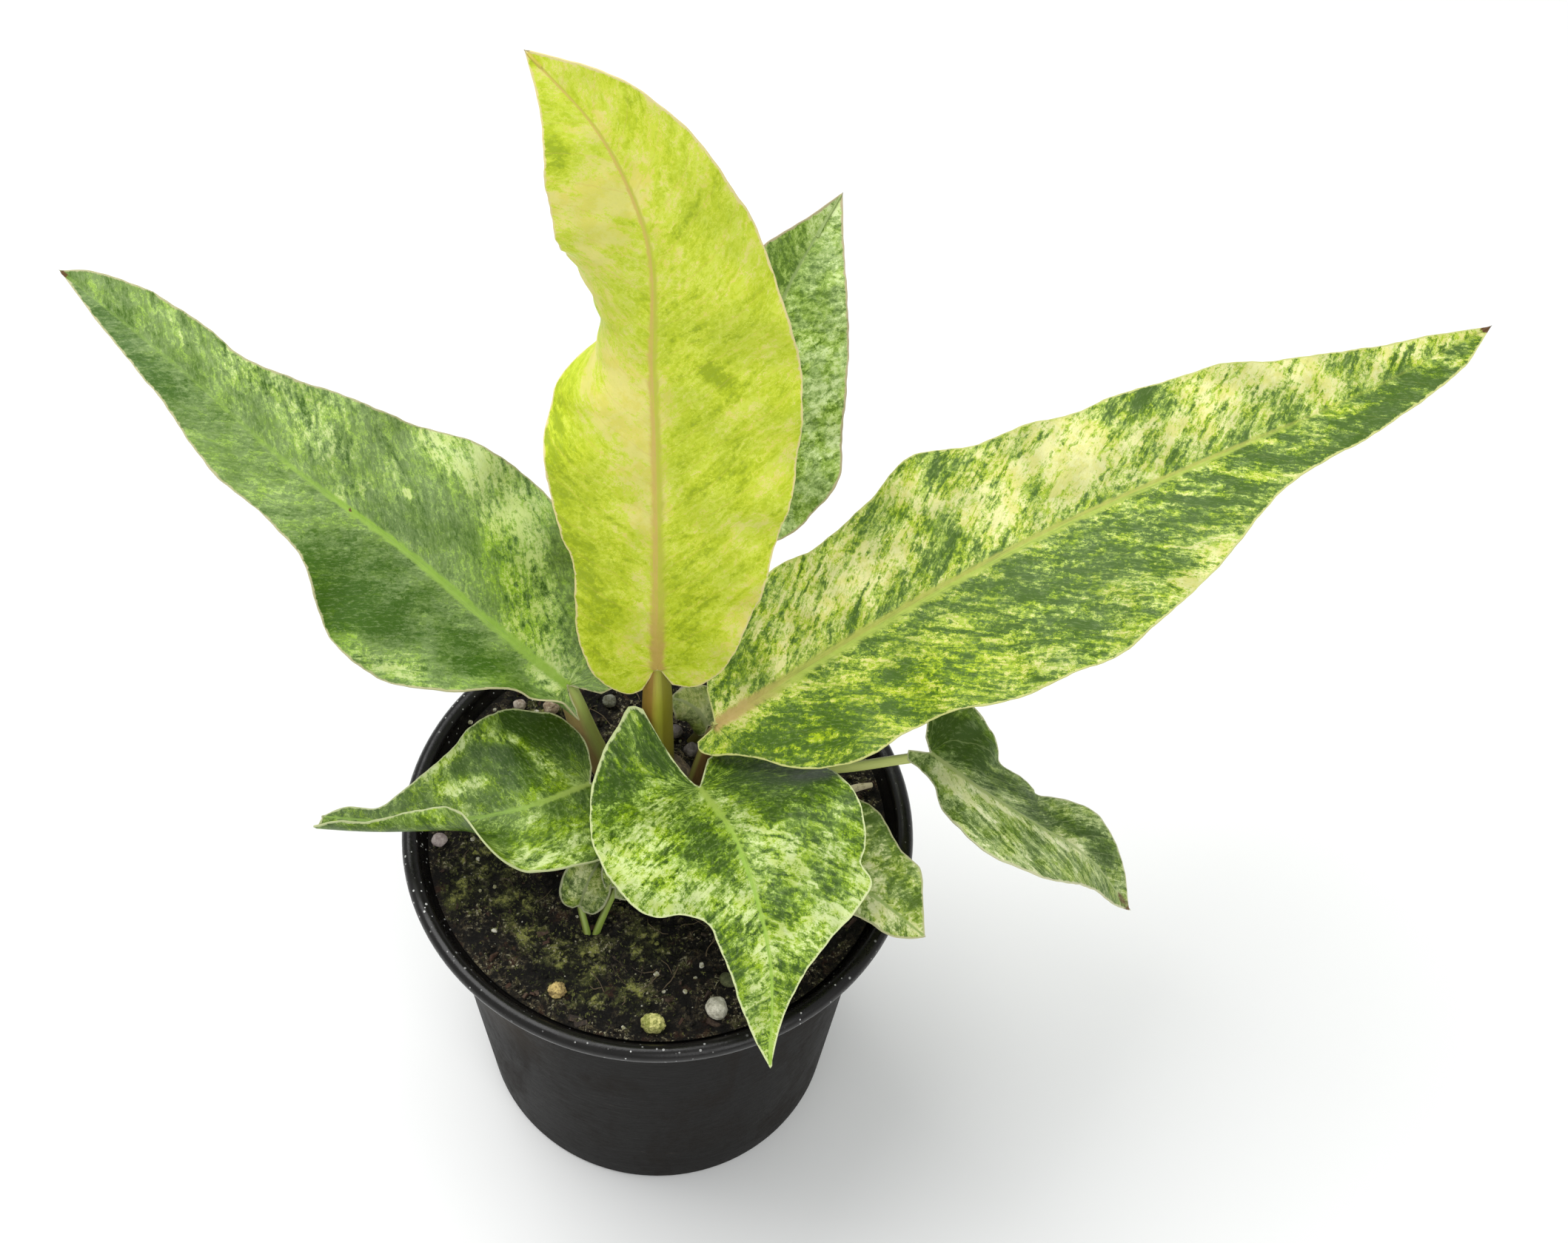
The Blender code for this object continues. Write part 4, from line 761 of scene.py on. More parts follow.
         "deep": [(31, 17, 18, 13, 6, 0.9), (13, 24, 1, 14, 7, 1), (31, -10, 25, -11, 5, 0.6),
                  (12, -4, 3, -2, 4, 0.4)]},
        bias=0.475, contrast=1.1, zoning=1.5, calm=0.22, net=0.8, fresh_share=0.9, gloss=0.36,
        rib_width=0.9, under=(0.30, 0.36, 0.10)),
    "leaf_front_right": Look(
        (0.08, 0.14, 0.015), (0.18, 0.27, 0.06), (0.28, 0.38, 0.09), (0.46, 0.56, 0.18), (0.78, 0.8, 0.44),
        (0.28, 0.38, 0.10), (0.28, 0.38, 0.10), (0.28, 0.38, 0.10), (0.46, 0.46, 0.24),
        {"cream": [(37, 4, 43, 1, 5, 1), (24, -10, 33, -6, 5, 0.6), (45, 1, 50, 1, 3, 0.8)],
         "lime": [(20, -17, 27, -14, 5, 0.4), (35, -3, 43, -2, 6, 0.5)],
         "deep": [(18, -18, 28, -16, 7, 0.8), (35, -8, 43, -5, 5, 0.6)]},
        bias=0.50, contrast=1.25, zoning=1.4),
    "leaf_far_right": Look(
        (0.045, 0.09, 0.008), (0.17, 0.25, 0.07), (0.32, 0.43, 0.13),
        (0.55, 0.64, 0.27), (0.84, 0.86, 0.52),
        (0.42, 0.50, 0.20), (0.34, 0.42, 0.14), (0.40, 0.46, 0.18), (0.56, 0.56, 0.34),
        {"cream": [(4, 3, 24, 7, 1.2, 0.9), (24, 7, 34, 12, 1.2, 0.7), (10, 1, 46, 2, 0.9, 0.9),
                   (44, -1, 49, -1, 3, 1), (19, 16, 36, 15, 3, 0.4)],
         "lime": [(6, 2, 14, 4, 3, 0.7), (46, -2, 54, 0, 4, 0.4)],
         "deep": [(-6, -8, 8, -9, 8, 1.0), (34, -4, 59, -6, 5, 0.6), (20, -10, 34, -9, 4, 0.5)],
         "dry": [(72, 0, 77, 0, 3, 0.5)]},
        bias=0.52, contrast=1.1, zoning=1.7, net=0.9, calm=0.40, slant=1.2, gloss=0.5, rib_height=0.3,
        rib_width=0.7, vein_strength=0.3, stalk_low=(0.46, 0.54, 0.12), stalk_high=(0.60, 0.66, 0.20),
        stalk_flank=(0.26, 0.28, 0.04)),
    "leaf_low": Look(
        (0.1, 0.13, 0.04), (0.2, 0.25, 0.09), (0.31, 0.37, 0.14), (0.42, 0.48, 0.2), (0.6, 0.62, 0.3),
        (0.30, 0.34, 0.16), (0.30, 0.34, 0.16), (0.30, 0.34, 0.16), (0.42, 0.42, 0.24),
        {"cream": [(3, 2, 10, 4, 3, 0.5)]}, rib_height=0.3, rib_width=0.8),
    "seedling": Look(
        (0.05, 0.08, 0.012), (0.13, 0.19, 0.05), (0.23, 0.31, 0.09), (0.42, 0.5, 0.18), (0.72, 0.76, 0.38),
        (0.30, 0.34, 0.16), (0.30, 0.34, 0.16), (0.30, 0.34, 0.16), (0.40, 0.42, 0.24),
        {"cream": [(2, 3, 12, 3, 1.5, 0.7), (2, -3, 10, -4, 1.5, 0.6)]}, rib_height=0.25, rib_width=0.7,
        stalk_low=(0.20, 0.28, 0.04), stalk_high=(0.32, 0.44, 0.08), stalk_flank=(0.22, 0.27, 0.05)),
}


# %% [markdown]
# A leaf is three surfaces in one piece. The grid is first bent along the blade, then lifted into
# a low ridge at the midrib, and Solidify gives it its thickness downwards, more where the keel
# runs below the midrib. Each point remembers its vein, its flat place, its strokes and how far
# it lies from the margin.

# %% Making a blade
HALF_THICKNESS = 0.22
KEEL_LIMIT = 4.0                # mm: the thickest that a leaf may be, at its keel
KEEL_SHARE = 1.35               # depth of the keel at the foot, in radii of the stalk
KEEL_RUN = 7.0                  # the keel has its full depth this far from the foot
LEAST_RIB = 0.3                 # half width of the midrib at the tip
FOOT_TONE_REACH = 30.0          # how far the foot's own colour runs up the midrib
VEIN_BOW, BLADE_HALF = 5.0, 30.0                # side veins bow by the first where the second is reached
LEAN_FROM, LEAN_FULL = -5.0, 25.0               # streaks lean from this vein on, fully after so many mm
UV_SCALE = 100.0                # mm for one unit of the UV map
UV_AROUND = 0.06                # units round a stalk for each mm of its radius
STROKE_KINDS = ("cream", "lime", "deep", "fresh", "dry")


def stroke_value(strokes, along, across):
    """How strongly a list of soft strokes touches each flat point."""
    total = np.zeros_like(along)
    for a0, c0, a1, c1, width, strength in strokes:
        way = np.array([a1 - a0, c1 - c0], float)
        length = max((way**2).sum(), 1e-6)
        t = np.clip(((along - a0) * way[0] + (across - c0) * way[1]) / length, 0, 1)
        gap2 = (along - a0 - t * way[0]) ** 2 + (across - c0 - t * way[1]) ** 2
        total = np.maximum(total, strength * np.exp(-gap2 / width**2))
    return total


def make_blade(name, leaf, look, lobe_rungs=30, rungs=150, steps=24):
    blade = Blade(leaf)
    along, across, vein, edge = blade.sheet(lobe_rungs, rungs, steps)
    signed = np.where(across == 0, 1e-9, across)
    piece = grid_piece(name, blade.point(along, signed))
    normals = read_points(piece, "normal").reshape(*along.shape, 3)
    normals[:, steps] = unit(normals[:, steps - 1] + normals[:, steps + 1])
    normals[:lobe_rungs, steps] = blade.normal[0]
    share = np.clip(along / blade.length, 0, 1)
    half_width = LEAST_RIB + (look.rib_width - LEAST_RIB) * (1 - share) ** 1.1
    rib = np.exp(-((across / half_width) ** 2)) * np.clip(1 + along / 1.5, 0, 1)
    ridge = look.rib_height * (1 - share) ** 0.9 * rib
    keel_start = np.clip(along / KEEL_RUN, 0, 1)
    keel = KEEL_SHARE * leaf.petiole_radii[-1] * (1 - share) ** 1.3 * rib * keel_start
    top = blade.point(along, signed) + normals * (HALF_THICKNESS + ridge)[..., None]
    move_points(piece, top)
    flat = np.stack([along, across, np.zeros_like(along)], axis=-1)
    lean = look.slant * np.abs(across) * np.clip((vein - LEAN_FROM) / LEAN_FULL, 0, 1)
    bow = VEIN_BOW * (across / BLADE_HALF) ** 2
    flow = np.stack([vein - lean - bow, across, np.zeros_like(along)], axis=-1)
    flat, flow = flat.reshape(-1, 3), flow.reshape(-1, 3)
    store(piece, flat=flat, flow=flow, edge=edge.ravel(), rib=rib.ravel(),
          foot=np.clip(along / FOOT_TONE_REACH, 0, 1).ravel())
    for kind in STROKE_KINDS:
        store(piece, **{kind: stroke_value(look.strokes.get(kind, ()), along, across).ravel()})
    group = piece.vertex_groups.new(name="body")
    depth = (2 * HALF_THICKNESS + ridge + keel).ravel() / KEEL_LIMIT
    for index, weight in enumerate(np.clip(depth, 0, 1)):
        group.add([index], float(weight), "REPLACE")
    lay_uv(piece, flat[:, :2] / UV_SCALE)
    edit(piece, MERGE)
    apply(piece, "SOLIDIFY", thickness=KEEL_LIMIT * MM, offset=-1.0, vertex_group="body",
          thickness_vertex_group=0.0, material_offset=1, material_offset_rim=0)
    return piece, blade


# %% [markdown]
# A stalk is a tube that narrows upwards and then runs on into the keel under the blade. Its
# section isn't quite round: it is a little flatter on top, with a faint ridge. The same helper
# makes the aerial root and the seedling's stalks.

# %% Making a stalk
def make_stalk(name, path, radii, top_normal, around=20, ridge=0.05):
    """A closed tube along a path, its upper side turned to top_normal at the last point."""
    tangent = unit(np.gradient(path, axis=0))
    normal = np.empty_like(path)
    up = np.array(top_normal, float)
    for i in range(len(path) - 1, -1, -1):
        up = unit(up - (up @ tangent[i]) * tangent[i])
        normal[i] = up
    side = np.cross(tangent, normal)
    turn = np.linspace(0, math.tau, around + 1)
    shape = 1 + ridge * np.cos(3 * turn)
    upward, sideways = ((wave * shape)[None, :, None] for wave in (np.cos(turn), np.sin(turn)))
    thick = radii[:, None, None]
    rings = path[:, None] + upward * normal[:, None] * thick - sideways * side[:, None] * thick
    ends = [np.repeat(path[k][None, None], around + 1, 1) for k in (0, -1)]
    points = np.concatenate([ends[0], rings, ends[1]])
    piece = grid_piece(name, points)
    walked = walked_along(path)
    walked = np.concatenate([walked[:1], walked, walked[-1:]])
    high = np.clip(walked / walked[-1], 0, 1)[:, None] + 0 * turn[None]
    store(piece, high=high.ravel(), flank=(np.sin(turn)[None] + 0 * high).ravel(),
          crest=(np.cos(turn)[None] + 0 * high).ravel())
    lengthwise = np.repeat(walked[:, None], around + 1, 1).ravel() / UV_SCALE
    turned = np.repeat(turn[None], len(walked), 0).ravel() / math.tau
    lay_uv(piece, np.stack([lengthwise, turned * radii.mean() * UV_AROUND], axis=-1))
    edit(piece, MERGE)
    return piece


# %% [markdown]
# The leaf paint works in layers, as the colour does in the living leaf. First come the patterns
# that several layers share: streaks along the side veins, fine flecks, thin ragged strands and
# the low ridges between them. Each later step lays one more tone over the colour so far.

# %% Patterns on a leaf
TONE_STOPS = (0.28, 0.45, 0.60)                     # where the deep, green and fresh tones lie
ZONE_WEIGHTS = {"cream": 0.21, "lime": 0.12, "deep": -0.20}
NOISE_MIDDLE, NET_MIDDLE = 2.2, 0.17                # averages of the two sums of patterns
VEIN_SPACING = 9.0                                  # mm between side veins
RIB_FADE = 45.0                                     # mm over which the midrib melts away
# a painted sheen for the tops of the fine ridges, and the brown of dry spots
RIDGE_SHEEN, DRY = (0.40, 0.50, 0.22), (0.13, 0.065, 0.025)


class BladePaint(Paint):
    """The paint of one blade, laid on in layers."""

    def __init__(self, name, look):
        super().__init__(name, roughness=0.6, specular=look.sheen)
        self.look = look
        self.flow = self.attribute("flow", "Vector")
        self.flat = self.attribute("flat", "Vector")
        along_vein, across_vein = look.grain
        self.streaks = self.noise(self.flow, (across_vein, along_vein, 1.0), detail=7, roughness=0.68,
                                  distortion=0.7)
        self.flecks = self.noise(self.flat, (0.55, 0.55, 1.0), (5.0, 9.0, 0.0), detail=9, roughness=0.76)
        warp = self.node("TexNoise", {"Vector": self.flat, "Scale": 0.30, "Detail": 5.0, "Roughness": 0.65})
        self.bent = self.node("VectorMath", {0: warp.outputs["Color"], 1: (9.0, 9.0, 0.0), 2: self.flow},
                              operation="MULTIPLY_ADD").outputs[0]
        threads = self.noise(self.bent, (0.42, 0.14, 1.0), detail=4, roughness=0.65)
        self.strands = self.lines(threads, 0.045)
        self.ridges = self.noise(self.flow, (1.2, 0.70, 1.0), (0.0, 17.0, 0.0), detail=5, roughness=0.75)
        wander = self.noise(self.flat, scale=0.10, detail=3)
        self.vein_phase = self.total((self.axis(self.flow, 0), 1.0), (wander, 5.0))

    def lay(self, amount, tone):
        self.colour = self.mix(amount, self.colour, tone)


# %% [markdown]
# The variegation itself is one number, the paleness. The leaf's strokes push it up or down, and
# the patterns break their soft edges into streaks, islands and strands. Low values are deep
# green, high ones lime, and the highest cream. Some patches are then made fresher or duller.

# %% Variegation
def variegate(p):
    look = p.look
    clouds = p.noise(p.flow, (0.10, 0.055, 1.0), (3.0, 11.0, 0.0), detail=3, roughness=0.6,
                     distortion=0.8)
    noise_sum = p.total((p.streaks, 1.8), (p.flecks, 1.8), (clouds, 0.8))
    island, small = (p.pick(p.stretch(p.bent, size)) for size in ((0.24, 0.15, 1.0), (0.80, 0.50, 1.0)))
    net = p.total((p.strands, 0.13), (island, 0.17), (small, 0.12))
    zones = p.total(*((p.attribute(kind), weight) for kind, weight in ZONE_WEIGHTS.items()))
    busy = p.ease(zones, 0.0, 0.16, look.calm, 1.0)       # the noise is stronger in the pale zones
    wild = p.product(p.math("SUBTRACT", noise_sum, NOISE_MIDDLE), busy)
    paleness = p.total((wild, look.contrast), (p.math("SUBTRACT", net, NET_MIDDLE), look.net),
                       (zones, look.zoning))
    p.paleness = p.math("ADD", paleness, look.bias)
    p.colour = p.ramp(p.paleness, list(zip(TONE_STOPS, (look.deep, look.green, look.fresh))))
    for tone, seed, size, start in ((look.lime, 13.0, (0.85, 0.55, 1.0), 1.04),
                                    (look.cream, 29.0, (0.62, 0.32, 1.0), 1.17)):
        film = p.noise(p.bent, size, (seed, 0.0, 0.0), detail=9, roughness=0.78)
        film = p.product(p.math("SUBTRACT", film, 0.5), busy)
        amount = p.math("ADD", p.total((p.paleness, 0.75), (film, 1.25), (p.strands, 0.07)), 0.625)
        p.lay(p.ease(amount, start, start + 0.10), tone)


def freshen_and_shade(p):
    """Fresher patches, broad painted shade, and a painted sheen on the fine ridges with painted shade
    between them.
    """
    patch = p.noise(p.flat, (0.16, 0.16, 1.0), (7.0, 3.0, 0.0), detail=6, roughness=0.7)
    vivid = p.node("HueSaturation", {"Saturation": 1.35, "Value": 0.88, "Color": p.colour}).outputs[0]
    patch = p.ease(patch, 0.44, 0.58, 0.0, p.look.fresh_share)
    p.lay(p.math("MAXIMUM", patch, p.attribute("fresh")), vivid)
    shade = p.noise(p.flat, (0.07, 0.07, 1.0), (1.0, 2.0, 0.0), detail=2)
    p.lay(p.ease(shade, 0.35, 0.70, 0.0, 0.30), p.look.deep)
    # painted sheen on the ridge tops and painted shade in the hollows between them
    p.lay(p.ease(p.ridges, 0.50, 0.66, 0.0, p.look.ridge_shading), RIDGE_SHEEN)
    p.lay(p.ease(p.ridges, 0.50, 0.34, 0.0, p.look.ridge_shading), p.look.deep)


# %% [markdown]
# The veins come on top: fine pale side veins, broken by the streaks, and the midrib with its
# fibres and a right flank painted lighter or darker by the light. Last come the pale margin and the dry
# spots.

# %% Veins, midrib and margin
def draw_veins(p):
    line_place = p.math("PINGPONG", p.vein_phase, VEIN_SPACING / 2)
    vein_line = p.ease(p.total((line_place, 1.0), (p.streaks, -0.9)), -0.10, -0.42)
    p.lay(p.product(vein_line, p.look.vein_strength), p.look.midrib)


def draw_midrib(p):
    look = p.look
    fibres = p.noise(p.flat, (0.10, 2.4, 1.0), detail=4, roughness=0.65)
    # painted light: the right flank of the midrib is lit or shaded in a tone of its own
    tone = p.mix(p.ease(p.axis(p.flat, 1), -0.25, 0.35), look.midrib, look.midrib_right_shading)
    tone = p.mix(p.ease(fibres, 0.50, 0.66, 0.0, 0.55), tone, look.green)
    tone = p.mix(p.ease(p.attribute("foot"), 1.0, 0.1), tone, look.foot)
    ragged = p.total((p.attribute("rib"), 1.0), (p.math("SUBTRACT", p.streaks, 0.5), 1.2))
    fading = p.ease(p.axis(p.flat, 0), look.rib_end - RIB_FADE, look.rib_end, 1.0, 0.25)
    p.lay(p.product(p.ease(ragged, 0.15, 0.72, 0.0, 0.9), fading), tone)


def draw_margin(p):
    rim_width = p.total((p.attribute("edge"), 1.0), (p.flecks, -1.6), (p.streaks, -0.8))
    p.lay(p.ease(rim_width, -0.62, -0.95), p.look.margin)
    p.lay(p.ease(p.total((p.attribute("dry"), 1.0), (p.flecks, 0.8)), 0.75, 0.95), DRY)


# %% [markdown]
# The layers meet in one material. The underside has the same layers under a duller, greyer
# skin. The stalk has its own paint: fibres, a change of colour upwards and a warmer flank.

# %% Painting a leaf
def paint_blade(name, look, underside=False):
    """All layers of one blade, with its relief and its sheen."""
    p = BladePaint(name, look)
    for layer in (variegate, freshen_and_shade, draw_veins, draw_midrib, draw_margin):
        layer(p)
    if underside:
        p.lay(0.45, look.under)
    cushions = p.math("COSINE", p.math("MULTIPLY", p.vein_phase, math.tau / VEIN_SPACING))
    grain = p.noise(p.flat, scale=2.2, detail=4, roughness=0.6)
    swell = p.noise(p.flat, scale=0.20, detail=2)
    height = p.total((cushions, 0.14 if underside else -0.10), (grain, 0.14), (swell, 0.9),
                     (p.paleness, 0.05), (p.ridges, 0.22))
    p.set(base_color=p.colour, normal=p.bump(height, 0.9, 0.5))
    if not underside:
        polish = p.total((grain, 0.4), (swell, 0.6))
        p.set(roughness=p.ease(polish, 0.3, 0.7, look.gloss - 0.06, look.gloss + 0.10))
    p.set(subsurface_weight=0.08, subsurface_scale=0.0012, subsurface_radius=(0.6, 1.0, 0.25))
    return p.material


def paint_stalk(name, look):
    """Fibrous stalk: lower colour to upper colour, with a warmer flank on one side."""
    p = Paint(name, roughness=0.42)
    fibre = p.noise(p.node("UVMap", {}).outputs[0], (25.0, 900.0, 1.0), detail=4)
    blotch = p.noise(p.place(), scale=140.0, detail=4)
    high, flank, crest = (p.attribute(k) for k in ("high", "flank", "crest"))
    colour = p.mix(p.ease(p.total((high, 1.0), (blotch, 0.3)), 0.2, 1.0), look.stalk_low, look.stalk_high)
    colour = p.mix(p.ease(p.total((flank, 1.0), (fibre, 0.3)), -0.2, 0.6), colour, look.stalk_flank)
    colour = p.mix(p.ease(crest, 0.90, 1.0, 0.0, 0.3), colour, look.lime)
    colour = p.mix(p.ease(fibre, 0.45, 0.75, 0.0, 0.25), colour, (0.10, 0.09, 0.02))
    p.set(base_color=colour, normal=p.bump(p.total((fibre, 1.0), (blotch, 0.4)), 0.25, 0.5))
    return p.material


# %% [markdown]
# Every leaf now goes through the same steps: blade, stalk, paint, join. The stalk's tube runs a
# short way on inside the keel, so the two meet without a seam.

# %% Growing the leaves
SINK_START, SINK_LENGTH = 0.80, 0.20            # shares of the stalk where it sinks under the blade
RUN_IN = (0.012, 0.16)          # shares of the blade between which the stalk runs on in the keel
RUN_IN_RADII = (0.95, 0.35)     # its radius there, in radii of the stalk's end
RUN_IN_RINGS, BEND_RINGS = 9, 12


def with_radii(points, radii):
    """Points of a path with the radius as a fourth number, to be smoothed together."""
    return [(*p, r) for p, r in zip(points, radii)]


def grow_leaf(name, leaf, look, stalk_count=40, **counts):
    """Blade, stalk and paint of one leaf, joined in one piece."""
    piece, blade = make_blade(name + "_surface", leaf, look, **counts)
    piece.data.materials.append(paint_blade(name, look))
    piece.data.materials.append(paint_blade(name + "_underside", look, underside=True))
    stalk = smooth_path(with_radii(leaf.petiole, leaf.petiole_radii), stalk_count)
    sink = np.clip((np.linspace(0, 1, stalk_count) - SINK_START) / SINK_LENGTH, 0, 1)[:, None] ** 2
    stalk[:, :3] -= sink * stalk[:, 3:] * blade.normal[0]
    share = np.linspace(*RUN_IN, RUN_IN_RINGS)
    end_radius = leaf.petiole_radii[-1] * np.linspace(*RUN_IN_RADII, RUN_IN_RINGS)
    into = spread(blade.path, share) - spread(blade.normal, share) * end_radius[:, None]
    corner = np.concatenate([stalk[-4:-2, :3], into[2:5]])
    corner_radii = np.concatenate([stalk[-4:-2, 3], end_radius[2:5]])
    bend = smooth_path(with_radii(corner, corner_radii), BEND_RINGS)
    path = np.concatenate([stalk[:-4, :3], bend[:-1, :3], into[4:]])
    radii = np.concatenate([stalk[:-4, 3], bend[:-1, 3], end_radius[4:]])
    tube = make_stalk(name + "_stalk", path, radii, blade.normal[0])
    tube.data.materials.append(paint_stalk(name + "_stalk", look))
    piece = join([piece, tube])
    smooth(piece)
    return piece


for name, leaf in LEAVES.items():
    fine = {"lobe_rungs": 12, "rungs": 40, "steps": 12} if name == "leaf_low" else {}
    settle(grow_leaf(name, leaf, LOOKS[name], **fine), name, name)

seedlings = [grow_leaf(f"seedling_{i}", leaf, LOOKS["seedling"], lobe_rungs=10, rungs=40, steps=12)
             for i, leaf in enumerate(SEEDLING_LEAVES)]
settle(join(seedlings), "seedling", "seedling")

root = smooth_path(with_radii(ROOT_PATH, ROOT_RADII), 40)
root_piece = make_stalk("root_tip_surface", root[:, :3], root[:, 3], (0, 0, 1), around=16)
p = Paint("root", roughness=0.6)
spots = p.noise(p.place(), scale=900.0, detail=3)
p.two_tone(spots, 0.5, 0.75, (0.66, 0.58, 0.38), (0.32, 0.26, 0.12)).set(normal=p.bump(spots, 0.3, 0.6))
dress(root_piece, p.material, "root", "root_tip")

# %% [markdown]
# The pot is a turned shape, so its profile is drawn once and spun. By hand this is one point,
# extruded again and again down one side of the section, and then the Spin tool. Round corners
# are short arcs of points. The rolled rim is the detail that people notice first.

# %% The pot's profile
POT_HEIGHT, RIM_RADIUS, BEAD_RADIUS = 126.0, 70.0, 2.3
BASE_RADIUS, BASE_THICKNESS, WALL_THICKNESS = 53.5, 1.4, 1.0
STEP_HEIGHT, STEP_RADIUS = 117.6, 61.9
COLLAR_RADIUS, LEDGE_HEIGHT, LEDGE_RADIUS = 65.4, 119.2, 63.4
DRAIN_HOLES, DRAIN_HOLE_RADIUS, DRAIN_CIRCLE = 8, 4.5, 37.0


def arc(centre, radius, start, end, count):
    """Points of (radius, height) on a round corner, from one angle in degrees to another."""
    turns = np.radians(np.linspace(start, end, count))
    return [(centre[0] + radius * math.cos(a), centre[1] + radius * math.sin(a)) for a in turns]


def inner_radius(height):
    return BASE_RADIUS + (STEP_RADIUS - BASE_RADIUS) * height / STEP_HEIGHT - WALL_THICKNESS


def line(start, end, count):
    """Points on a straight stretch, without its start."""
    return [tuple(p) for p in np.linspace(start, end, count + 1)[1:]]


bead = (RIM_RADIUS - BEAD_RADIUS, POT_HEIGHT - BEAD_RADIUS)
profile = [(0.0, 0.0)] + line((0, 0), (BASE_RADIUS - 1.6, 0.0), 4)
profile += arc((BASE_RADIUS - 1.5, 1.6), 1.6, -90, -4, 6)
profile += line((BASE_RADIUS + 0.1, 1.7), (STEP_RADIUS, STEP_HEIGHT - 0.8), 12)
profile += arc((STEP_RADIUS + 0.9, STEP_HEIGHT - 0.5), 0.8, 180, 96, 4)
profile += arc((COLLAR_RADIUS - 1.0, STEP_HEIGHT + 1.0), 1.0, -84, 0, 5)
profile += line((COLLAR_RADIUS, STEP_HEIGHT + 1.0),
                (COLLAR_RADIUS + 0.35, bead[1] - BEAD_RADIUS - 0.6), 2)
profile += arc(bead, BEAD_RADIUS, -95, 190, 22)
profile += line((bead[0] - BEAD_RADIUS, bead[1] - 0.6),
                (LEDGE_RADIUS + 0.5, LEDGE_HEIGHT + 1.2), 4)
profile += [(LEDGE_RADIUS, LEDGE_HEIGHT + 0.7), (inner_radius(LEDGE_HEIGHT), LEDGE_HEIGHT)]
profile += line((inner_radius(LEDGE_HEIGHT), LEDGE_HEIGHT),
                (inner_radius(BASE_THICKNESS), BASE_THICKNESS), 8)
profile += [(0.0, BASE_THICKNESS)]
print("points in the pot's profile:", len(profile))

# %% [markdown]
# Blender's own tools do the rest. One vertex is extruded from point to point of the profile,
# and Spin turns the line into the pot. The drain holes are cylinders, cut with a Boolean.

# %% Spinning the pot
POT_STEPS = 144
HOLE_SIDES, CUTTER_HEIGHT = 32, 4.0


def turned(name, points, steps, centre=(0.0, 0.0)):
    """Extrude one vertex through a profile of (radius, height) and spin it round."""
    bpy.ops.mesh.primitive_plane_add(size=MM, location=(0, 0, 0))
    piece = bpy.context.object
    piece.name = piece.data.name = name
    bpy.ops.object.mode_set(mode="EDIT")
    bpy.ops.mesh.merge(type="CENTER")
    x, y = centre
    bpy.ops.transform.translate(value=((x + points[0][0]) * MM, y * MM, points[0][1] * MM))
    for (r0, z0), (r1, z1) in zip(points, points[1:]):
        move = {"value": ((r1 - r0) * MM, 0.0, (z1 - z0) * MM)}
        bpy.ops.mesh.extrude_region_move(TRANSFORM_OT_translate=move)
    bpy.ops.mesh.select_all(action="SELECT")
    bpy.ops.mesh.spin(steps=steps, angle=math.tau, center=(x * MM, y * MM, 0.0), axis=(0, 0, 1))
    bpy.ops.mesh.select_all(action="SELECT")
    bpy.ops.mesh.remove_doubles(threshold=1e-5)
    bpy.ops.mesh.normals_make_consistent(inside=False)
    bpy.ops.object.mode_set(mode="OBJECT")
    return piece


pot = turned("pot_surface", profile, POT_STEPS)
drains = []
for i in range(DRAIN_HOLES):
    angle = math.tau * (i + 0.5) / DRAIN_HOLES
    spot = (DRAIN_CIRCLE * MM * math.cos(angle), DRAIN_CIRCLE * MM * math.sin(angle),
            BASE_THICKNESS * MM / 2)
    bpy.ops.mesh.primitive_cylinder_add(vertices=HOLE_SIDES, radius=DRAIN_HOLE_RADIUS * MM,
                                        depth=CUTTER_HEIGHT * MM, location=spot)
    drains.append(bpy.context.object)
drain = join(drains)
apply(pot, "BOOLEAN", operation="DIFFERENCE", object=drain, solver="EXACT")
bpy.data.objects.remove(drain)
smooth(pot, 32)

# %% [markdown]
# Black nursery plastic is never clean: the wall is dull with dried splashes and fine scratches,
# and the rim is shinier where hands touch it, with white mineral specks caught on top. The
# finish depends on height, so it reads the place on the pot.

# %% Painting the pot
PLASTIC, FILM, THICK_FILM_AND_SHEEN = (0.0075, 0.0068, 0.0062), (0.027, 0.022, 0.018), (0.078, 0.067, 0.055)
SCUFF, MINERAL = (0.105, 0.088, 0.070), (0.62, 0.62, 0.60)


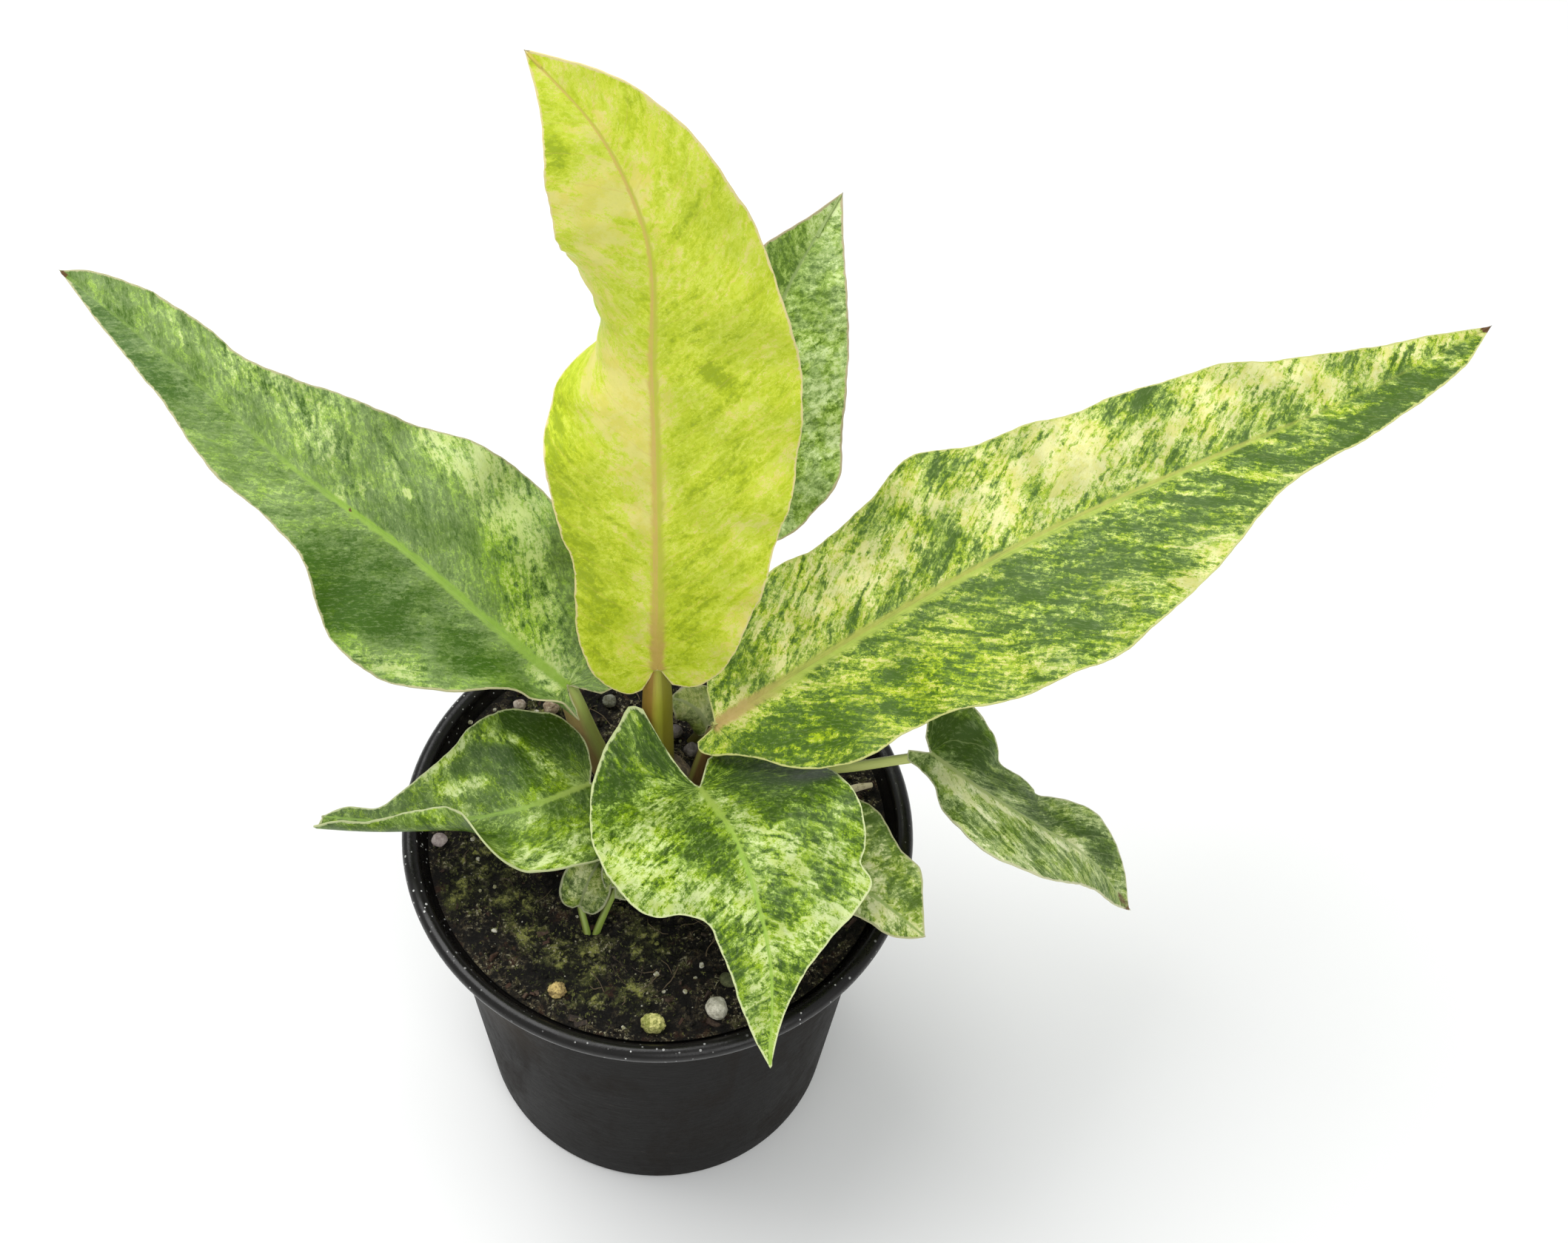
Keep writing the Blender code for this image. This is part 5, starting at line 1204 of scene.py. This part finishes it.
def paint_pot(name, specular, base_roughness, film_strength):
    """Black plastic under a film of dust, with a painted sheen high on the left of the wall, scuffs, and
    mineral specks on the rim.
    """
    p = Paint(name, specular=specular)
    place = p.place()
    height = p.axis(place, 2)
    smear = p.noise(place, (1.0, 1.0, 0.45), scale=38.0, detail=6, roughness=0.65, distortion=1.2)
    dust = p.noise(place, scale=420.0, detail=5, roughness=0.7)
    drips = p.noise(place, (1.0, 1.0, 0.12), scale=120.0, detail=4, roughness=0.6)
    film = p.ease(p.total((smear, 0.6), (drips, 0.2), (dust, 0.2)), 0.44, 0.72)
    colour = p.mix(p.product(film, film_strength), PLASTIC, FILM)
    scuffs = p.noise(place, (1.0, 1.0, 5.0), scale=70.0, detail=7, roughness=0.75, distortion=0.6)
    colour = p.mix(p.ease(scuffs, 0.64, 0.71, 0.0, 0.8 * film_strength), colour, SCUFF)
    # the film is thickest high on the left of the wall, where a painted sheen also lightens it
    high = p.ease(height, 0.060, 0.105, 0.0, 2.0 * film_strength - 0.2)
    upper_left_film_and_sheen = p.product(high, p.ease(p.axis(place, 0), -0.022, -0.058))
    colour = p.mix(p.product(upper_left_film_and_sheen, p.ease(smear, 0.3, 0.7, 0.3, 1.0)), colour, THICK_FILM_AND_SHEEN)
    rim_top = p.ease(height, 0.1180, 0.1215)
    for scale, size, rarity in ((330.0, 0.13, 0.40), (620.0, 0.17, 0.58)):
        speck = p.ease(p.cells(place, scale), size, size * 0.7)
        picked = p.ease(p.pick(place, scale), rarity, rarity + 0.03)
        cluster = p.ease(p.noise(place, scale=26.0, detail=3), 0.42, 0.60, 0.15, 1.0)
        colour = p.mix(p.product(speck, picked, p.product(cluster, rim_top)), colour, MINERAL)
    scratch = p.noise(place, (1.0, 1.0, 3.0), scale=210.0, detail=6, roughness=0.8)
    rough = p.math("ADD", p.total((film, 0.25), (scratch, 0.18)), base_roughness)
    p.set(base_color=colour, roughness=rough,
          normal=p.bump(p.total((smear, 0.6), (scratch, 0.2), (scuffs, 0.4), (dust, 0.15)), 0.6, 0.4))
    return p.material


pot.data.materials.append(paint_pot("pot wall", 0.024, 0.34, 0.6))
pot.data.materials.append(paint_pot("pot rim", 0.30, 0.13, 0.10))
for face in pot.data.polygons:
    if face.center.z > (STEP_HEIGHT - 0.3) * MM:
        face.material_index = 1
settle(pot, "pot", "pot")

# %% [markdown]
# The mix fills the pot to just under the rim. Its top is a low dome, made from rings of points
# with lumps in three sizes: swells, clods and crumbs. The body below is closed, as the solid
# is, so the surface has no open edge.

# %% The potting mix
SOIL_EDGE_HEIGHT, SOIL_DOME, SOIL_RELIEF, SOIL_RADIUS = 120.8, 1.6, 1.1, 63.05
SOIL_TURNS, SOIL_RINGS = 480, 150
SOIL_FLOOR, SOIL_FLOOR_RADIUS = 1.75, 51.65
SOIL_GAP = 0.35                 # between the mix and the wall
WALL_HEIGHTS = (20.0, 45.0, 70.0, 95.0, LEDGE_HEIGHT)
CLOD_SIZE, CRUMB_SIZE, FINE_SIZE = 4.2, 2.2, 0.9


def soil_height(x, y):
    """Top of the mix without its finest crumbs."""
    share = min(math.hypot(x, y) / SOIL_RADIUS, 1.0)
    lumps = noise.noise(Vector((x, y, 3.0)) / 17.0) + 0.5 * noise.noise(Vector((x, y, 9.0)) / 7.0)
    return SOIL_EDGE_HEIGHT + SOIL_DOME * (1 - share**2) + SOIL_RELIEF * lumps * (1 - share**4)


def crumbly(x, y):
    """Clods and crumbs on the swells of the mix."""
    spot = Vector((x, y, 0.0))
    clods = noise.fractal(spot / CLOD_SIZE, 1.0, 2.1, 4, noise_basis="PERLIN_ORIGINAL")
    crumbs = noise.ridged_multi_fractal(spot / CRUMB_SIZE, 0.9, 2.2, 3, 0.9, 1.8,
                                        noise_basis="PERLIN_ORIGINAL")
    fine = noise.noise(spot / FINE_SIZE)
    edge = min((SOIL_RADIUS - math.hypot(x, y)) / 3.0, 1.0)
    return soil_height(x, y) + edge * (1.0 * clods + 0.55 * (crumbs - 1.0) + 0.28 * fine)


rings = [(r, SOIL_FLOOR) for r in (0.0, 20.0, 40.0, SOIL_FLOOR_RADIUS)]
rings += [(inner_radius(z) - SOIL_GAP, z) for z in WALL_HEIGHTS]
rings += [(inner_radius(LEDGE_HEIGHT) - SOIL_GAP, LEDGE_HEIGHT + 0.3),
          (SOIL_RADIUS, LEDGE_HEIGHT + 1.05)]
tops = SOIL_RADIUS * np.linspace(1, 0, SOIL_RINGS) ** 0.8
turn = np.linspace(0, math.tau, SOIL_TURNS + 1)
turn[-1] = 0.0
rows = [np.stack([r * np.cos(turn), r * np.sin(turn), np.full_like(turn, z)], axis=-1)
        for r, z in rings]
for r in tops:
    x, y = r * np.cos(turn), r * np.sin(turn)
    z = np.array([crumbly(a, b) for a, b in zip(x, y)])
    rows.append(np.stack([x, y, z], axis=-1))
soil = grid_piece("soil_surface", np.stack(rows))
edit(soil, MERGE)

# %% [markdown]
# Moss grows in patches. How mossy a point is depends on its distance to them, and its painted
# shade on how deep it lies between the crumbs. Both are stored at the points for the paint.

# %% Where the moss grows
MOSS_PATCHES = [(-24, -40, 11), (-47, -9, 10), (-6, -51, 7), (-38, -24, 8), (-2, -36, 8),
                (-14, -22, 7), (-33, -33, 6), (-52, -20, 7), (-18, -50, 6), (28, 40, 9), (-30, 42, 8)]
LIFT_RANGE = 1.6                # mm from the deepest pits to the highest crumbs


def store_moss(piece):
    """How mossy each point is, from its distance to the patches, and how far out of the pits it is."""
    places = read_points(piece) / MM
    moss = np.zeros(len(places))
    for x, y, r in MOSS_PATCHES:
        moss = np.maximum(moss, np.exp(-((places[:, 0] - x) ** 2 + (places[:, 1] - y) ** 2) / r**2))
    lift = np.array([z - soil_height(x, y) for x, y, z in places])
    store(piece, moss=moss, lift=np.clip(lift / LIFT_RANGE + 0.5, 0, 1))


store_moss(soil)

# %% [markdown]
# The mix is nearly black, with brown grains, green and yellow moss, thin dead fibrils and pale
# specks, partly painted glints. Painted shade darkens the pits between the crumbs, and single damp facets
# glint.

# %% Painting the mix
PAINTED_PIT_SHADE, WARM_BARK = (0.0030, 0.0024, 0.0014), (0.050, 0.021, 0.010)
MOSS_DARK, MOSS_BRIGHT = (0.056, 0.061, 0.015), (0.300, 0.310, 0.075)
FIBRIL, PALE_SPECK_AND_GLINT = (0.190, 0.155, 0.085), (0.46, 0.42, 0.27)


def paint_mix(name, dark, light):
    """Dark mix with moss, fibrils, pale specks that are partly painted glints, and painted shade in its
    pits; it reads the stored moss and lift.
    """
    p = Paint(name, roughness=0.85, specular=0.35)
    place = p.place()
    lift = p.attribute("lift")
    clumps = p.noise(place, scale=150.0, detail=5, roughness=0.7)
    grains = p.noise(place, scale=750.0, detail=4, roughness=0.75)
    colour = p.mix(p.ease(p.total((clumps, 0.4), (grains, 0.6)), 0.45, 0.60), dark, light)
    warm = p.ease(p.noise(place, scale=190.0, detail=4), 0.55, 0.64, 0.0, 0.8)
    colour = p.mix(warm, colour, WARM_BARK)
    amount = p.total((p.attribute("moss"), 0.30), (clumps, 1.0), (grains, 0.6), (lift, 0.10))
    littered = p.ease(p.noise(place, scale=75.0, detail=4, roughness=0.65), 0.42, 0.60, 0.12, 1.0)
    colour = p.mix(p.ease(amount, 0.96, 1.06), colour, MOSS_DARK)
    colour = p.mix(p.ease(amount, 1.09, 1.21), colour, MOSS_BRIGHT)
    # fibrils: thin broken lines where a stretched noise crosses its middle
    for shift, stretched in ((3.0, (1.0, 0.35, 1.0)), (8.0, (0.35, 1.0, 1.0))):
        wave = p.noise(place, stretched, (shift, 0.0, 0.0), scale=420.0, detail=4, distortion=1.5)
        broken = p.product(p.lines(wave, 0.035), p.ease(grains, 0.46, 0.58, 0.0, 0.9), littered)
        colour = p.mix(broken, colour, FIBRIL)
    # pale specks: partly pale grains, partly painted glints of damp crumbs
    speck = p.ease(p.noise(place, scale=1150.0, detail=2), 0.575, 0.63)
    speck = p.product(speck, p.ease(clumps, 0.40, 0.52), littered)
    colour = p.mix(speck, colour, PALE_SPECK_AND_GLINT)
    # painted shade: the pits between the crumbs and the low side of the clumps go near black
    pits = p.ease(p.total((lift, 1.0), (clumps, 0.8)), 0.72, 0.98, 0.88, 0.0)
    colour = p.mix(pits, colour, PAINTED_PIT_SHADE)
    glint = p.ease(p.noise(place, scale=2000.0, detail=2), 0.58, 0.68, 0.92, 0.25)
    bump = p.bump(p.total((grains, 1.0), (clumps, 0.7), (speck, 0.1)), 1.8, 1.0)
    return p.set(base_color=colour, roughness=glint, normal=bump).material


dress(soil, paint_mix("potting mix", (0.0065, 0.0048, 0.0028), (0.048, 0.035, 0.019)),
      "potting_mix", "soil", angle=60)

# %% [markdown]
# Loose crumbs, bark, grit, root fibres and moss make the mix believable. Each kind is modelled
# once, with a few faces, and copied with its own turn, size and place from a seeded draw, so the
# result is the same each time. Copies are joined into one piece for each kind.

# %% Crumbs on the mix
draw = random.Random(7)
CRUMB_COUNT, CHIP_COUNT, GRIT_COUNT, FIBRE_COUNT, LEAFLET_COUNT = 1500, 80, 170, 120, 2600


def random_spot(outer=SOIL_RADIUS - 1.5):
    r = outer * math.sqrt(draw.random())
    a = draw.uniform(0, math.tau)
    return r * math.cos(a), r * math.sin(a)


def any_turn():
    axis = Vector((draw.uniform(-1, 1), draw.uniform(-1, 1), draw.uniform(-1, 1)))
    return Matrix.Rotation(draw.uniform(0, math.tau), 4, axis)


def rough_ball(level, lumps):
    """One crumb or grain, 1 mm in radius."""
    bpy.ops.mesh.primitive_ico_sphere_add(subdivisions=level, radius=MM, location=(0, 0, 0))
    ball = bpy.context.object
    for v in ball.data.vertices:
        v.co *= 1 + lumps * noise.noise(v.co / MM * 1.7)
    return ball


def copies(name, model, placements):
    """Copy one modelled shape to each place, given as a matrix in millimetres, and join them."""
    pieces = []
    for place in placements:
        mesh = model.data.copy()
        mesh.transform(Matrix.Scale(MM, 4) @ place @ Matrix.Scale(1 / MM, 4))
        piece = bpy.data.objects.new(name, mesh)
        bpy.context.scene.collection.objects.link(piece)
        pieces.append(piece)
    bpy.data.objects.remove(model)
    return join(pieces)


def lying(spots, low, high, flat, sunk=0.0):
    """Places for grains that lie on the mix: a size, a turn and a height for each."""
    for x, y in spots:
        size = draw.uniform(low, high)
        squash = Matrix.Diagonal((size, size * draw.uniform(0.6, 0.95), size * flat, 1.0))
        yield Matrix.Translation((x, y, crumbly(x, y) + size * (0.2 - sunk))) @ any_turn() @ squash


crumb_spots = [random_spot() for _ in range(CRUMB_COUNT)]
crumbs = copies("mix_crumbs", rough_ball(1, 0.5), lying(crumb_spots, 0.3, 1.0, 0.7))
store_moss(crumbs)
dress(crumbs, paint_mix("crumbs", (0.006, 0.0045, 0.003), (0.034, 0.024, 0.013)), "potting_mix")

# %% [markdown]
# A chip of bark is a cube with one cut, flattened and pushed out of square by noise.

# %% Chips of bark
bpy.ops.mesh.primitive_cube_add(size=2 * MM, location=(0, 0, 0))
chip = bpy.context.object
edit(chip, (bpy.ops.mesh.subdivide, {"number_cuts": 1}))
for v in chip.data.vertices:
    v.co.x *= 1.0 + 0.35 * noise.noise(v.co / MM + Vector((4, 0, 0)))
    v.co.y *= 0.55 + 0.25 * noise.noise(v.co / MM * 1.5)
    v.co.z *= 0.22 + 0.10 * noise.noise(v.co / MM * 1.2 + Vector((0, 7, 0)))
chip_spots = [random_spot() for _ in range(CHIP_COUNT)]
chip_spots += [(3.3, -51.8), (6.0, -47.0), (-40.0, 45.7), (-33.6, 41.8)]
chips = copies("bark_chips", chip, lying(chip_spots, 0.7, 1.9, 1.0, sunk=0.25))
p = Paint("bark", roughness=0.8)
bark_rings = p.noise(p.place(), scale=700.0, detail=5, roughness=0.7)
tone = p.noise(p.place(), scale=60.0, detail=1)
bark_tone = p.mix(p.ease(tone, 0.4, 0.6), (0.020, 0.013, 0.008), (0.052, 0.022, 0.011))
p.two_tone(bark_rings, 0.45, 0.65, bark_tone, (0.080, 0.052, 0.030))
p.set(normal=p.bump(bark_rings, 0.5, 0.8))
dress(chips, p.material, "potting_mix")

# %% [markdown]
# Pale bits of lime and broken stone lie where they catch the eye, and finer grit anywhere.

# %% Pale grit
PALE_BITS = [(-0.2, -44.6), (1.7, -49.3), (7.3, -49.5), (9.9, -45.5), (11.7, -41.9), (-8.8, -59.3),
             (-47.9, -19.4), (-49.0, -9.7), (-44.0, -18.1), (-50.7, -3.7), (-43.4, -31.4),
             (6.5, 27.8), (7.5, 46.1), (-53.4, 34.7), (-46.6, 38.8), (-21.4, -28.1), (-12.0, 47.0),
             (20.0, 50.0), (33.0, 44.0), (48.0, 26.0),
             (-27.0, 39.3), (-34.5, 38.0), (-32.0, 28.0), (-24.0, 30.0), (52.0, 12.0), (56.0, 2.0)]
grit_spots = [random_spot() for _ in range(GRIT_COUNT)]
bits = copies("pale_bits", rough_ball(2, 0.35), lying(PALE_BITS, 0.5, 0.95, 0.8))
grit = copies("pale_grit", rough_ball(1, 0.4), lying(grit_spots, 0.12, 0.36, 0.8))
p = Paint("pale bits", roughness=0.85)
chalk = p.noise(p.place(), scale=1100.0, detail=4)
p.two_tone(chalk, 0.42, 0.62, (0.26, 0.25, 0.13), (0.62, 0.60, 0.50))
p.set(normal=p.bump(chalk, 0.4, 0.8))
for piece in (bits, grit):
    dress(piece, p.material, "white_stone")

# %% [markdown]
# Thin roots wander over the mix. Each is the stalk's tube again, with five sides.

# %% Root fibres
FIBRE_RINGS, FIBRE_REST, FIBRE_ARCH = 7, 0.1, 0.5      # rings, height of its ends and of its middle


def fibre_points(x, y, length, heading, bend, count=FIBRE_RINGS):
    """A thin root that lies on the mix and lifts off it a little in the middle."""
    points = []
    for k in range(count):
        t = k / (count - 1)
        heading += bend / count
        x += math.cos(heading) * length / count
        y += math.sin(heading) * length / count
        points.append((x, y, crumbly(x, y) + FIBRE_REST + FIBRE_ARCH * math.sin(math.pi * t)))
    return points


fibres = []
for _ in range(FIBRE_COUNT):
    x, y = random_spot(SOIL_RADIUS - 6)
    points = fibre_points(x, y, draw.uniform(3, 11), draw.uniform(0, math.tau), draw.uniform(-2.5, 2.5))
    if max(math.hypot(q[0], q[1]) for q in points) > SOIL_RADIUS - 1:
        continue
    thick = np.full(FIBRE_RINGS, draw.uniform(0.07, 0.16))
    fibres.append(make_stalk("fibre", np.array(points), thick, (0, 0, 1), around=5, ridge=0))
fibres = join(fibres)
fibres.name = "root_fibres"
p = Paint("fibres", roughness=0.75)
age = p.noise(p.place(), scale=55.0, detail=3)
p.two_tone(age, 0.4, 0.6, (0.030, 0.020, 0.010), (0.15, 0.11, 0.06))
p.set(normal=p.bump(p.noise(p.place(), scale=2500.0, detail=2), 0.1, 0.5))
dress(fibres, p.material, "root")

# %% [markdown]
# A sprig of moss is four thin cones that lean apart. It grows dense in the patches, and here
# and there outside them.

# %% Moss
STRAY_MOSS = 0.12               # chance of a sprig away from the patches


def mossy(x, y):
    return max(math.exp(-((x - a) ** 2 + (y - b) ** 2) / r**2) for a, b, r in MOSS_PATCHES)


bpy.ops.mesh.primitive_cone_add(vertices=3, radius1=0.15 * MM, radius2=0, depth=1.1 * MM,
                                location=(0, 0, 0.45 * MM))
leaflet = bpy.context.object
sprig = [leaflet]
for tilt, turn_by in ((0.9, 0.5), (0.8, 2.6), (1.0, 4.4)):
    side = leaflet.copy()
    side.data = leaflet.data.copy()
    side.data.transform(Matrix.Rotation(turn_by, 4, "Z") @ Matrix.Rotation(tilt, 4, "X"))
    bpy.context.scene.collection.objects.link(side)
    sprig.append(side)
leaflet = join(sprig)
leaflet_places = []
while len(leaflet_places) < LEAFLET_COUNT:
    x, y = random_spot()
    if draw.random() > STRAY_MOSS + mossy(x, y):
        continue
    facing = Matrix.Rotation(draw.uniform(0, math.tau), 4, "Z")
    lean = facing @ Matrix.Rotation(draw.uniform(0.1, 1.2), 4, "X")
    grow = Matrix.Diagonal((1.0, 1.0, draw.uniform(0.5, 1.3), 1.0))
    leaflet_places.append(Matrix.Translation((x, y, crumbly(x, y))) @ lean @ grow)
moss_piece = copies("moss_tufts", leaflet, leaflet_places)
p = Paint("moss", roughness=0.8)
tone = p.noise(p.place(), scale=260.0, detail=3)
p.two_tone(tone, 0.40, 0.62, (0.030, 0.036, 0.008), (0.15, 0.16, 0.040))
p.set(normal=p.bump(tone, 0.2, 0.3))
moss_piece.data.materials.append(p.material)
settle(moss_piece, "potting_mix")

# %% [markdown]
# Each loose pebble takes its place and size from its measured solid. A round ball is made
# uneven by a broad noise and pitted by a fine one, then let down until it rests in the crumbs.

# %% Pebbles
STONE_FIT = 0.97                # of the solid's size, so that lumps stay inside it
STONE_LUMPS, PIT_DEPTH = 0.16, 0.22
STONE_SUNK = 0.4                # mm that a stone sits in the mix at least
STONE_STEP = 7.1                # how far apart in the noise two stones are taken
STONES = {"pebble_pumice": ("pumice", (0.74, 0.71, 0.58), (0.36, 0.34, 0.25), 0.22),
          "pebble_mossy": ("mossy_stone", (0.74, 0.70, 0.26), (0.20, 0.22, 0.035), 0.65),
          "pebble_yellow": ("yellow_stone", (0.66, 0.50, 0.18), (0.20, 0.14, 0.05), 0.75),
          "pebble_half_buried": ("buried_stone", (0.16, 0.17, 0.07), (0.05, 0.06, 0.02), 0.12),
          "pebble_pink": ("pink_stone", (0.52, 0.45, 0.42), (0.26, 0.20, 0.19), 0.12),
          "pebble_grey_1": ("grey_stone", (0.16, 0.14, 0.13), (0.06, 0.05, 0.045), 0.14),
          "pebble_grey_2": ("grey_stone", (0.19, 0.165, 0.15), (0.07, 0.06, 0.055), 0.14),
          "pebble_grey_3": ("grey_stone", (0.30, 0.26, 0.22), (0.10, 0.08, 0.06), 0.18),
          "pebble_grey_4": ("grey_stone", (0.16, 0.14, 0.12), (0.06, 0.05, 0.04), 0.15),
          "pebble_grey_5": ("grey_stone", (0.25, 0.25, 0.20), (0.09, 0.09, 0.05), 0.2),
          "pebble_cream": ("cream_stone", (0.58, 0.47, 0.33), (0.24, 0.16, 0.10), 0.28),
          "pebble_white": ("white_stone", (0.60, 0.52, 0.44), (0.25, 0.19, 0.14), 0.22)}

for seed, (name, (slot, light, dark, pits)) in enumerate(STONES.items()):
    low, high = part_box(name)
    centre, size = (low + high) / 2, high - low
    bpy.ops.mesh.primitive_ico_sphere_add(subdivisions=5, radius=1.0, location=(0, 0, 0))
    stone = bpy.context.object
    stone.name = stone.data.name = name + "_surface"
    for v in stone.data.vertices:
        spot = v.co + Vector((seed * STONE_STEP, 0, 0))
        lump = 1 + STONE_LUMPS * noise.noise(v.co * 1.3 + Vector((seed * STONE_STEP, 0, 0)))
        lump += pits * PIT_DEPTH * noise.fractal(spot * 3.4, 0.8, 2.2, 5, noise_basis="PERLIN_ORIGINAL")
        v.co = centre + v.co * size * 0.5 * lump * STONE_FIT
    gap = min(v.co.z / MM - crumbly(v.co.x / MM, v.co.y / MM) for v in stone.data.vertices)
    stone.data.transform(Matrix.Translation((0.0, 0.0, -max(gap + STONE_SUNK, 0.0) * MM)))
    p = Paint(name, roughness=0.82)
    mottle = p.noise(p.place(), scale=520.0, detail=6, roughness=0.7)
    pores = p.noise(p.place(), scale=1900.0, detail=3, roughness=0.6)
    p.two_tone(p.total((mottle, 0.7), (pores, 0.3)), 0.40, 0.62, dark, light)
    p.set(normal=p.bump(p.total((mottle, 0.6), (pores, 0.4)), 0.5, 0.7))
    dress(stone, p.material, slot, name, angle=60)

# %% [markdown]
# The crown is the short rough stem from which all stalks leave. It is turned like the pot, then
# roughened point by point, so that it looks like a stack of old leaf scars.

# %% The crown
CROWN_CENTRE, CROWN_RADIUS, CROWN_TOP, CROWN_BOTTOM = (0.0, 14.0), 12.0, 126.5, 100.0
CROWN_BENDS = [(9.0, CROWN_BOTTOM, 1), (CROWN_RADIUS, 104.0, 3), (CROWN_RADIUS, 118.5, 8),
               (10.5, 123.5, 5), (7.0, CROWN_TOP, 5), (0.0, CROWN_TOP, 7)]
crown_profile = [(0.0, CROWN_BOTTOM)]
for radius, height, count in CROWN_BENDS:
    crown_profile += line(crown_profile[-1], (radius, height), count)
crown = turned("crown_surface", crown_profile, 64, CROWN_CENTRE)
for v in crown.data.vertices:
    spot = v.co / MM
    scar_place = Vector((spot.x, spot.y, spot.z * 2.2)) / 3.5
    rough = noise.fractal(scar_place, 0.9, 2.1, 4, noise_basis="PERLIN_ORIGINAL")
    out = Vector((spot.x - CROWN_CENTRE[0], spot.y - CROWN_CENTRE[1], 0.0)) / CROWN_RADIUS
    v.co += (out * 0.8 + Vector((0, 0, 0.5))) * (rough - 0.4) * MM
p = Paint("crown", roughness=0.85)
bands = p.noise(p.place(), (1.0, 1.0, 3.5), scale=260.0, detail=5, roughness=0.7)
p.two_tone(bands, 0.4, 0.65, (0.045, 0.032, 0.018), (0.16, 0.12, 0.06))
p.set(normal=p.bump(bands, 0.8, 0.8))
dress(crown, p.material, "crown", "crown", angle=60)
